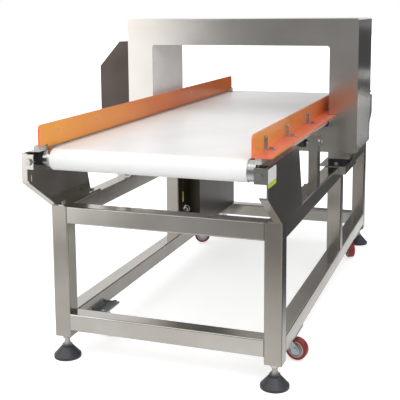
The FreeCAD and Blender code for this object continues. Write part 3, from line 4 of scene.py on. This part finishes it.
import bpy
from mathutils import Matrix, Vector


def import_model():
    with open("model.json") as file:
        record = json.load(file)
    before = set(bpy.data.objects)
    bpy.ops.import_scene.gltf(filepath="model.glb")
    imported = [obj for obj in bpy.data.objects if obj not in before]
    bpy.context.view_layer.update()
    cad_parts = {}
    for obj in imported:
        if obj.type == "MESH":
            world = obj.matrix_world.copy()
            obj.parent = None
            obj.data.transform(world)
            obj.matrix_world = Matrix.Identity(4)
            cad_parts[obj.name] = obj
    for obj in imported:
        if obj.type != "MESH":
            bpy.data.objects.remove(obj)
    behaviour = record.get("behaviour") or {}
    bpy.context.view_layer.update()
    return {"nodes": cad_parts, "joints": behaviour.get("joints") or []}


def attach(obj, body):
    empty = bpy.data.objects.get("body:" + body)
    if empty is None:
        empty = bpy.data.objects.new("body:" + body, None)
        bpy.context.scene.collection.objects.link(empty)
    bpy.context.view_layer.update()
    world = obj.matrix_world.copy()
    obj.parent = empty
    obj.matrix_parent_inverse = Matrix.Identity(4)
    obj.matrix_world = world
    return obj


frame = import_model()


# ---------------------------------------------------------------- materials

def srgb(red, green, blue):
    """A colour written as it looks on screen, 0 to 255, as linear light."""
    def linear(value):
        value /= 255
        return value / 12.92 if value <= 0.04045 else ((value + 0.055) / 1.055) ** 2.4
    return (linear(red), linear(green), linear(blue), 1)


class Nodes:
    """A material's node tree with short calls to add and link nodes."""

    def __init__(self, name):
        self.material = bpy.data.materials.new(name)
        self.material.use_nodes = True
        self.tree = self.material.node_tree
        self.shader = self.tree.nodes["Principled BSDF"]
        coordinates = self.tree.nodes.new("ShaderNodeTexCoord")
        self.place = coordinates.outputs["Object"]

    def add(self, kind, **inputs):
        node = self.tree.nodes.new("ShaderNode" + kind)
        for key, value in inputs.items():
            if key in node.bl_rna.properties and key not in node.inputs:
                setattr(node, key, value)
                continue
            socket = node.inputs[key]
            if isinstance(value, bpy.types.NodeSocket):
                self.tree.links.new(value, socket)
            else:
                socket.default_value = value
        return node

    def math(self, operation, *values):
        node = self.add("Math", operation=operation)
        for socket, value in zip(node.inputs, values):
            if isinstance(value, bpy.types.NodeSocket):
                self.tree.links.new(value, socket)
            else:
                socket.default_value = value
        return node.outputs[0]

    def stretched(self, scale):
        return self.add("Mapping", Vector=self.place, Scale=scale).outputs[0]

    def noise(self, scale, detail=3, roughness=0.55, place=None):
        node = self.add("TexNoise", Vector=place or self.place, Scale=scale, Detail=detail, Roughness=roughness)
        return node.outputs["Fac"]

    def spread(self, value, low, high, start=0.3, end=0.7):
        node = self.add("MapRange", Value=value)
        for key, number in (("From Min", start), ("From Max", end), ("To Min", low), ("To Max", high)):
            node.inputs[key].default_value = number
        return node.outputs[0]

    def mix(self, factor, first, second, blend="MIX"):
        node = self.tree.nodes.new("ShaderNodeMix")
        node.data_type = "RGBA"
        node.blend_type = blend
        for index, value in ((0, factor), (6, first), (7, second)):
            if isinstance(value, bpy.types.NodeSocket):
                self.tree.links.new(value, node.inputs[index])
            else:
                node.inputs[index].default_value = value
        return node.outputs[2]

    def axis(self, name):
        return self.add("SeparateXYZ", Vector=self.place).outputs[name]

    def step(self, value, edge, width=0.0004):
        """0 below the edge and 1 above it."""
        return self.spread(value, 0, 1, edge - width, edge + width)

    def bump(self, height, strength, distance):
        node = self.add("Bump", Height=height, Strength=strength, Distance=distance)
        self.set("Normal", node.outputs[0])

    def set(self, key, value):
        socket = self.shader.inputs[key]
        if isinstance(value, bpy.types.NodeSocket):
            self.tree.links.new(value, socket)
        else:
            socket.default_value = value


def brushed(name, dark, light, along, rough=(0.16, 0.24), metallic=1.0, grain=900, bump=0.03):
    """Brushed steel: fine streaks along one axis, broad soft patches and a slight change of gloss."""
    nodes = Nodes(name)
    scale = [grain, grain, grain]
    scale["XYZ".index(along)] = 6
    streak = nodes.noise(1, 3, 0.6, nodes.stretched(scale))
    patch = nodes.noise(4, 3)
    cloud = nodes.noise(2.2, 2, 0.4)
    base = nodes.mix(nodes.spread(patch, 0, 1, 0.35, 0.65), dark, light)
    warm = nodes.mix(nodes.spread(cloud, 0, 0.5, 0.45, 0.7), base, (0.60, 0.52, 0.46, 1), "MULTIPLY")
    nodes.set("Base Color", nodes.mix(nodes.spread(streak, 0, 0.3), warm, dark))
    nodes.set("Metallic", metallic)
    nodes.set("Roughness", nodes.spread(patch, *rough))
    nodes.bump(streak, bump, 0.0002)
    return nodes.material


def coated(name, dark, light, rough=(0.4, 0.5), grain=900, metallic=0.0, bump=0.08):
    """Paint, powder coat or moulded plastic: fine orange peel and faint broad patches."""
    nodes = Nodes(name)
    fine = nodes.noise(grain, 2)
    broad = nodes.noise(7, 3)
    nodes.set("Base Color", nodes.mix(nodes.spread(broad, 0, 1), dark, light))
    nodes.set("Roughness", nodes.spread(fine, *rough))
    nodes.set("Metallic", metallic)
    nodes.bump(fine, bump, 0.0003)
    return nodes.material


def give(material, *names):
    for name in names:
        node = frame["nodes"][name]
        node.data.materials.clear()
        node.data.materials.append(material)


steel_dark = srgb(182, 178, 171)
steel_light = srgb(200, 197, 191)
steel_x = brushed("steel_along_x", steel_dark, steel_light, "X")
steel_y = brushed("steel_along_y", steel_dark, steel_light, "Y")
steel_z = brushed("steel_along_z", steel_dark, steel_light, "Z")
leg_steel = brushed("leg_steel", srgb(164, 159, 151), srgb(182, 177, 169), "Z")
head_steel = brushed("head_steel", srgb(200, 198, 193), srgb(208, 206, 202), "X", (0.17, 0.22), bump=0.35)
# painted shade: a much darker copy of the brushed steel, standing in for the shade the cabinet sits in under the bed
cabinet_steel_painted_shade = brushed("cabinet_steel_painted_shade", srgb(52, 48, 43), srgb(72, 67, 61), "Z", (0.28, 0.36))
zinc = coated("zinc_plate", srgb(172, 180, 186), srgb(205, 212, 216), (0.25, 0.4), 500, 0.9)
bright = coated("bright_steel", srgb(170, 170, 166), srgb(215, 215, 212), (0.15, 0.3), 600, 1.0)
belt_white = coated("belt_cover", srgb(238, 239, 238), srgb(247, 247, 246), (0.3, 0.36), 1400)
bed_plastic = coated("bed_plastic", srgb(196, 196, 190), srgb(214, 214, 208), (0.5, 0.65))
liner = coated("liner_plastic", srgb(222, 224, 222), srgb(236, 237, 236), (0.4, 0.55))
black = coated("black_plastic", srgb(30, 31, 34), srgb(48, 50, 54), (0.4, 0.55))
rubber = coated("black_rubber", srgb(24, 24, 24), srgb(38, 38, 38), (0.65, 0.8), 1600, 0, 0.2)
copper = brushed("coil_wire", srgb(150, 80, 40), srgb(196, 118, 70), "X", (0.3, 0.45), 0.9, 700)
gearbox_paint = coated("gearbox_paint", srgb(150, 152, 154), srgb(172, 174, 176), (0.35, 0.5), 300, 0.4, 0.3)
motor_paint = coated("motor_paint", srgb(70, 84, 96), srgb(84, 100, 112), (0.35, 0.5))
console_steel = brushed("console_steel", srgb(70, 64, 60), srgb(92, 85, 81), "Z", (0.26, 0.34))
display = coated("display_glass", srgb(16, 20, 24), srgb(24, 30, 36), (0.05, 0.1), 200, 0, 0.0)
keypad = coated("keypad_film", srgb(92, 98, 104), srgb(112, 118, 124), (0.4, 0.5))
green = coated("green_button", srgb(20, 120, 52), srgb(30, 142, 62), (0.2, 0.3))
red = coated("red_button", srgb(176, 24, 20), srgb(196, 34, 28), (0.2, 0.3))
component_grey = coated("component_housing", srgb(78, 82, 86), srgb(110, 114, 118), (0.5, 0.6))


# span along the guides over which their painted shade darkens the orange
GUIDE_NEAR_Y, GUIDE_HEAD_Y = -0.8, -0.05
TYRE_INSIDE = 0.0234
FOOT_NECK_TOP = 0.0381


def guide_material():
    """Glossy orange plate, darker toward the head as painted shade, with lighter and pinker cut edges and level
    flange as painted highlight.
    """
    nodes = Nodes("guide_orange")
    normal = nodes.add("SeparateXYZ", Vector=nodes.add("NewGeometry").outputs["Normal"])
    across = nodes.math("ABSOLUTE", normal.outputs["X"])
    face = nodes.spread(across, 0, 1, 0.35, 0.75)
    broad = nodes.noise(3, 3)
    plate = nodes.mix(nodes.spread(broad, 0, 1), srgb(244, 158, 48), srgb(250, 170, 62))
    # painted shade: the orange turns darker and browner toward the head, where less light falls
    painted_far_shade = nodes.mix(nodes.spread(broad, 0, 1), srgb(206, 100, 26), srgb(218, 112, 36))
    plate = nodes.mix(nodes.spread(nodes.axis("Y"), 0, 1, GUIDE_NEAR_Y, GUIDE_HEAD_Y), plate, painted_far_shade)
    # painted highlight: faces not turned sideways, the cut edges and the level flange top, get a lighter and pinker
    # colour for the sheen light puts on them
    edge = nodes.mix(nodes.spread(broad, 0, 1), srgb(232, 104, 70), srgb(240, 122, 90))
    nodes.set("Base Color", nodes.mix(face, edge, plate))
    fine = nodes.noise(600, 2)
    nodes.set("Roughness", nodes.spread(fine, 0.2, 0.26))
    nodes.set("IOR", 1.5)
    nodes.bump(fine, 0.02, 0.0002)
    return nodes.material


ENDS = ("near", "far")
SIDES = ("left", "right")
CORNERS = [end + "_" + side for end in ENDS for side in SIDES]

give(leg_steel, "corner_legs", "mid_legs")
give(steel_z, "support_posts", "head_feet", "cabinet_door")
give(steel_y, "side_rails", "side_plates", "saddle_plates")
# the cabinet case takes the darker steel as painted shade
give(cabinet_steel_painted_shade, "cabinet_case")
give(steel_x, "cross_rails")
give(head_steel, "head_shell")
give(liner, "aperture_liner")
give(copper, "search_coils")
give(guide_material(), "left_guide", "right_guide")
give(belt_white, "belt")
give(bed_plastic, "bed_side_rails", "bed_cross_bars", "slider_bed")
give(zinc, "caster_plates", "guide_brackets", "hinge_case_leaves", "hinge_door_leaves")
give(bright, "bolts", "foot_lock_nuts", "adjusting_screws", "door_lock", "cable_gland", "control_collars",
     "infeed_roller_shaft", "return_roller_shafts", "infeed_roller")
give(rubber, "isolators", "door_seal", "drive_roller")
give(black, "take_up_blocks", "drive_bearings", "return_roller_near", "return_roller_far")
give(gearbox_paint, "gearbox")
give(motor_paint, "drive_motor")
give(console_steel, "console_case")
give(display, "display_window")
give(keypad, "membrane_keypad")
give(green, "start_button")
give(red, "stop_button", "power_switch")
give(component_grey, "cabinet_components")
for corner in CORNERS:
    give(zinc, "caster_fork_" + corner)


def wheel_material(corner):
    """Zinc hub with a polyurethane tyre round it, told apart by the distance from the axle."""
    nodes = Nodes("caster_wheel_" + corner)
    joint = next(j for j in frame["joints"] if j["name"] == "wheel_spin_" + corner)
    centre = nodes.add("VectorMath", operation="SUBTRACT")
    nodes.tree.links.new(nodes.place, centre.inputs[0])
    centre.inputs[1].default_value = joint["pos_m"]
    across = nodes.add("VectorMath", operation="CROSS_PRODUCT")
    nodes.tree.links.new(centre.outputs[0], across.inputs[0])
    across.inputs[1].default_value = joint["axis"]
    distance = nodes.add("VectorMath", operation="LENGTH")
    nodes.tree.links.new(across.outputs[0], distance.inputs[0])
    tyre = nodes.step(distance.outputs["Value"], TYRE_INSIDE)
    fine = nodes.noise(300, 3)
    hub = nodes.mix(nodes.spread(fine, 0, 1), srgb(176, 172, 166), srgb(212, 208, 200))
    cover = nodes.mix(nodes.spread(fine, 0, 1), srgb(128, 30, 30), srgb(160, 44, 42))
    nodes.set("Base Color", nodes.mix(tyre, hub, cover))
    nodes.set("Metallic", nodes.spread(tyre, 0.7, 0, 0, 1))
    nodes.set("Roughness", nodes.spread(fine, 0.32, 0.5))
    nodes.bump(fine, 0.1, 0.0003)
    return nodes.material


def foot_material():
    """Black moulded pad below the neck, plated stud above it."""
    nodes = Nodes("levelling_foot")
    stud = nodes.step(nodes.axis("Z"), FOOT_NECK_TOP)
    fine = nodes.noise(700, 3)
    pad = nodes.mix(nodes.spread(fine, 0, 1), srgb(40, 42, 48), srgb(60, 62, 68))
    steel = nodes.mix(nodes.spread(fine, 0, 1), srgb(160, 158, 150), srgb(206, 204, 198))
    nodes.set("Base Color", nodes.mix(stud, pad, steel))
    nodes.set("Metallic", stud)
    nodes.set("Roughness", nodes.spread(fine, 0.36, 0.5))
    nodes.bump(fine, 0.15, 0.0003)
    return nodes.material


for corner in CORNERS:
    give(wheel_material(corner), "caster_wheel_" + corner)
    give(foot_material(), "levelling_foot_" + corner)


# ---------------------------------------------------------------- added pieces

PLATE_PROUD = 0.0004


def label_plate(name, node, centre, outward, upward, width, height, material):
    """Bare plate with rounded corners, lying on the face of a node that a line along -outward meets."""
    outward, upward = Vector(outward), Vector(upward)
    start = Vector(centre) + outward * 0.3
    found, place, normal, _ = frame["nodes"][node].ray_cast(start, -outward)
    if not found:
        raise ValueError("no face under " + name)
    sideways = upward.cross(outward)
    corner = min(width, height) * 0.12
    outline = []
    for quarter, (across, along) in enumerate(((1, 1), (-1, 1), (-1, -1), (1, -1))):
        for step in range(5):
            angle = math.radians(90 * quarter + 22.5 * step)
            outline.append((across * (width / 2 - corner) + corner * math.cos(angle),
                            along * (height / 2 - corner) + corner * math.sin(angle)))
    points = []
    for level in (0.02, 0.75):
        points += [place + sideways * u + upward * v + outward * (PLATE_PROUD * level) for u, v in outline]
    shrink = 1 - PLATE_PROUD / width
    points += [place + sideways * u * shrink + upward * v * shrink + outward * PLATE_PROUD for u, v in outline]
    count = len(outline)
    faces = [tuple(range(count))[::-1], tuple(range(2 * count, 3 * count))]
    for ring in (0, count):
        for index in range(count):
            after = (index + 1) % count
            faces.append((ring + index, ring + after, ring + count + after, ring + count + index))
    mesh = bpy.data.meshes.new(name)
    mesh.from_pydata(points, [], faces)
    mesh.materials.append(material)
    thing = bpy.data.objects.new(name, mesh)
    bpy.context.collection.objects.link(thing)
    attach(thing, "frame")


def two_tone(name, low_colour, high_colour, height):
    """Printed plate: one colour below a height and another above it, with a faint grain."""
    nodes = Nodes(name)
    fine = nodes.noise(500, 2)
    low = nodes.mix(nodes.spread(fine, 0, 0.12), low_colour, (0, 0, 0, 1))
    high = nodes.mix(nodes.spread(fine, 0, 0.05), high_colour, (0, 0, 0, 1))
    nodes.set("Base Color", nodes.mix(nodes.step(nodes.axis("Z"), height), low, high))
    nodes.set("Roughness", nodes.spread(fine, 0.3, 0.4))
    return nodes.material


label_plate("plate_label", "side_plates", (0.46, -0.859, 0.6075), (1, 0, 0), (0, 0, 1), 0.078, 0.047,
            two_tone("plate_label", srgb(214, 222, 66), srgb(240, 241, 240), 0.5965))
label_plate("cabinet_label", "cabinet_case", (-0.271, 0.19, 0.2735), (0, -1, 0), (0, 0, 1), 0.062, 0.044,
            two_tone("cabinet_label", srgb(228, 226, 216), srgb(222, 190, 60), 0.272))
label_plate("head_label", "head_shell", (0.2125, -0.1, 0.5445), (0, -1, 0), (0, 0, 1), 0.045, 0.031,
            two_tone("head_label", srgb(206, 218, 150), srgb(196, 210, 140), 0.545))


# ---------------------------------------------------------------- stage, camera and lights

def quad(name, corners):
    mesh = bpy.data.meshes.new(name)
    mesh.from_pydata(corners, [], [(0, 1, 2, 3)])
    thing = bpy.data.objects.new(name, mesh)
    bpy.context.collection.objects.link(thing)
    return thing


FLOOR_HALF = 30


def level_corners(west, south, east, north, height):
    return [(west, south, height), (east, south, height), (east, north, height), (west, north, height)]


def ray_kinds(tree):
    """1 for rays from the camera, from glossy surfaces and through clear ones, and 0 for the rest."""
    paths = tree.nodes.new("ShaderNodeLightPath")
    seen = paths.outputs["Is Camera Ray"]
    for key in ("Is Glossy Ray", "Is Transmission Ray"):
        larger = tree.nodes.new("ShaderNodeMath")
        larger.operation = "MAXIMUM"
        tree.links.new(seen, larger.inputs[0])
        tree.links.new(paths.outputs[key], larger.inputs[1])
        seen = larger.outputs[0]
    return seen


def floor():
    """Pale floor that shows the object's shadow close to it and fades to the white background."""
    thing = quad("floor", level_corners(-FLOOR_HALF, -FLOOR_HALF, FLOOR_HALF, FLOOR_HALF, -0.0005))
    thing.visible_glossy = False
    nodes = Nodes("floor")
    grain = nodes.noise(40, 2)
    nodes.set("Base Color", nodes.mix(nodes.spread(grain, 0, 1), (0.80, 0.80, 0.80, 1), (0.82, 0.82, 0.82, 1)))
    nodes.set("Roughness", 0.9)
    distance = nodes.add("VectorMath", operation="LENGTH")
    nodes.tree.links.new(nodes.place, distance.inputs[0])
    glow = nodes.spread(distance.outputs["Value"], 0.56, 1.0, 1.0, 2.4)
    nodes.set("Emission Color", (1, 1, 1, 1))
    nodes.set("Emission Strength", nodes.math("MULTIPLY", glow, ray_kinds(nodes.tree)))
    thing.data.materials.append(nodes.material)


def world():
    studio = bpy.data.worlds.new("studio")
    bpy.context.scene.world = studio
    studio.use_nodes = True
    tree = studio.node_tree
    background = tree.nodes["Background"]
    strength = tree.nodes.new("ShaderNodeMapRange")
    tree.links.new(ray_kinds(tree), strength.inputs["Value"])
    strength.inputs["To Min"].default_value = 0.55
    strength.inputs["To Max"].default_value = 1
    tree.links.new(strength.outputs[0], background.inputs["Strength"])
    background.inputs["Color"].default_value = (1, 1, 1, 1)


class Reflector:
    """A wall of the studio that only polished surfaces show: white, grey or black in parts."""

    def __init__(self, name, corners):
        self.thing = quad(name, corners)
        for kind in ("camera", "diffuse", "transmission", "volume_scatter", "shadow"):
            setattr(self.thing, "visible_" + kind, False)
        self.nodes = Nodes(name)
        self.x = self.nodes.axis("X")
        self.y = self.nodes.axis("Y")
        self.z = self.nodes.axis("Z")
        self.thing.data.materials.append(self.nodes.material)

    def ramp(self, value, start, end, low, high):
        node = self.nodes.add("MapRange", interpolation_type="SMOOTHSTEP", Value=value)
        for key, number in (("From Min", start), ("From Max", end), ("To Min", low), ("To Max", high)):
            node.inputs[key].default_value = number
        return node.outputs[0]

    def band(self, value, start, end, soft=0.01):
        """1 between start and end, 0 outside."""
        return self.nodes.math("MULTIPLY", self.ramp(value, start - soft, start + soft, 0, 1),
                               self.ramp(value, end - soft, end + soft, 1, 0))

    def math(self, *values):
        return self.nodes.math(*values)

    def shine(self, strength, colour=(1, 1, 1, 1)):
        tree = self.nodes.tree
        light = tree.nodes.new("ShaderNodeEmission")
        for value, socket in ((strength, light.inputs["Strength"]), (colour, light.inputs["Color"])):
            if isinstance(value, bpy.types.NodeSocket):
                tree.links.new(value, socket)
            else:
                socket.default_value = value
        tree.links.new(light.outputs[0], tree.nodes["Material Output"].inputs["Surface"])


# the walls of the studio, in metres
WEST, EAST, SOUTH, NORTH, CEILING = -3.5, 3.0, -3.2, 2.4, 4.0
# level stripes on the back wall: from, to, softness and brightness
STRIPES = (
    (0.90, 0.951, 0.012, 0.3),
    (0.578, 0.634, 0.008, 0.62),
    (0.43, 0.472, 0.008, 0.3),
    (0.405, 0.42, 0.008, 0.25),
)


def front_wall():
    """White on the left and grey on the right, white above."""
    wall = Reflector("reflector_front",
                     [(WEST, SOUTH, 0), (EAST, SOUTH, 0), (EAST, SOUTH, CEILING), (WEST, SOUTH, CEILING)])
    lower = wall.ramp(wall.x, -1.62, -1.2, 2.0, 0.28)
    wall.shine(wall.math("MAXIMUM", lower, wall.ramp(wall.z, 1.2, 1.8, 0, 1)))


def back_wall():
    """Darker toward the right, then a black flag with stripes and a bright window in it, white above."""
    wall = Reflector("reflector_back",
                     [(WEST, NORTH, 0), (EAST, NORTH, 0), (EAST, NORTH, CEILING), (WEST, NORTH, CEILING)])
    stripes = 0
    for low, high, soft, bright in STRIPES:
        stripe = wall.math("MULTIPLY", wall.band(wall.z, low, high, soft), bright)
        stripes = wall.math("MAXIMUM", stripes, stripe)
    stripes = wall.math("MULTIPLY", stripes, wall.ramp(wall.x, 0.84, 0.9, 1, 0))
    window = wall.math("MULTIPLY", wall.band(wall.x, 0.93, 1.12, 0.05), wall.band(wall.z, 0.14, 0.5, 0.03))
    flag = wall.math("MAXIMUM", wall.math("ADD", stripes, 0.07), wall.math("MULTIPLY", window, 1.5))
    side = wall.ramp(wall.x, 0.42, 0.55, 0, 1)
    open_wall = wall.ramp(wall.x, -0.9, 0.05, 0.9, 0.12)
    lower = wall.math("ADD", wall.math("MULTIPLY", flag, side),
                      wall.math("MULTIPLY", open_wall, wall.math("SUBTRACT", 1, side)))
    wall.shine(wall.math("MAXIMUM", lower, wall.ramp(wall.z, 1.05, 1.3, 0, 1)))


def side_walls():
    right = Reflector("reflector_right",
                      [(EAST, SOUTH, 0), (EAST, NORTH, 0), (EAST, NORTH, CEILING), (EAST, SOUTH, CEILING)])
    right.shine(right.math("MAXIMUM", right.ramp(right.y, -1.5, 1.0, 0.5, 0.1), right.ramp(right.z, 1.4, 2.4, 0, 1)))
    left = Reflector("reflector_left",
                     [(WEST, SOUTH, 0), (WEST, NORTH, 0), (WEST, NORTH, CEILING), (WEST, SOUTH, CEILING)])
    left.shine(left.ramp(left.z, 0, 1, 0.8, 1))


def ceiling():
    above = Reflector("reflector_above", level_corners(WEST, SOUTH, EAST, NORTH, CEILING))
    above.shine(above.ramp(above.x, -2, 2, 1, 0.85))


def reflected_floor():
    """Greyer in front, bright on the left, nearly black beside the machine and shaded under it."""
    below = Reflector("reflector_below", level_corners(WEST, SOUTH, EAST, NORTH, 0.0002))
    ahead = below.ramp(below.y, -2.3, -1.05, 0.40, 1.0)
    leftward = below.ramp(below.x, -1.15, -0.65, 1.25, 0)
    open_floor = below.math("MAXIMUM", ahead, leftward)
    behind = below.ramp(below.y, -0.95, -0.55, 0, 1)
    beside = below.ramp(below.x, 0.46, 0.6, 0, 1)
    flag = below.math("MULTIPLY", behind, beside)
    kept = below.math("SUBTRACT", 1, below.math("MULTIPLY", flag, 0.92))
    under = below.math("MULTIPLY", below.band(below.x, -0.3, 0.42, 0.08), below.band(below.y, -0.75, 0.75, 0.08))
    shaded = below.math("SUBTRACT", 1, below.math("MULTIPLY", under, 0.45))
    below.shine(below.math("MULTIPLY", open_floor, below.math("MULTIPLY", kept, shaded)))


def lamp(name, power, size, place, target):
    light = bpy.data.lights.new(name, "AREA")
    light.energy = power
    light.size = size
    thing = bpy.data.objects.new(name, light)
    thing.location = place
    thing.rotation_euler = (Vector(target) - Vector(place)).to_track_quat("-Z", "Y").to_euler()
    bpy.context.collection.objects.link(thing)


# focal length and optical centre are in parts of a square picture 400 wide
CAMERA_PLACE = (0.89616, -2.75527, 1.00924)
PICTURE = 400
SENSOR = 36


def camera():
    yaw, pitch, roll = 0.343066, 0.139266, 0.007441
    focal, centre_u, centre_v = 814.914, 200, 125
    forward = Vector((-math.sin(yaw) * math.cos(pitch), math.cos(yaw) * math.cos(pitch), -math.sin(pitch)))
    right = Vector((math.cos(yaw), math.sin(yaw), 0))
    down = forward.cross(right)
    across = right * math.cos(roll) + down * math.sin(roll)
    below = down * math.cos(roll) - right * math.sin(roll)
    rotation = Matrix((across, -below, -forward)).transposed()
    data = bpy.data.cameras.new("camera")
    data.sensor_width = SENSOR
    data.lens = focal / PICTURE * SENSOR
    data.shift_x = (PICTURE / 2 - centre_u) / PICTURE
    data.shift_y = (centre_v - PICTURE / 2) / PICTURE
    thing = bpy.data.objects.new("camera", data)
    thing.matrix_world = Matrix.Translation(CAMERA_PLACE) @ rotation.to_4x4()
    bpy.context.collection.objects.link(thing)
    bpy.context.scene.camera = thing


floor()
world()
front_wall()
back_wall()
side_walls()
ceiling()
reflected_floor()
camera()
lamp("key", 55, 2.4, (1.4, -3.0, 2.6), (0, -0.4, 0.5))
lamp("fill", 45, 3.5, (-1.6, -1.2, 3.6), (0, 0, 0.5))
bpy.context.scene.view_settings.view_transform = "Standard"
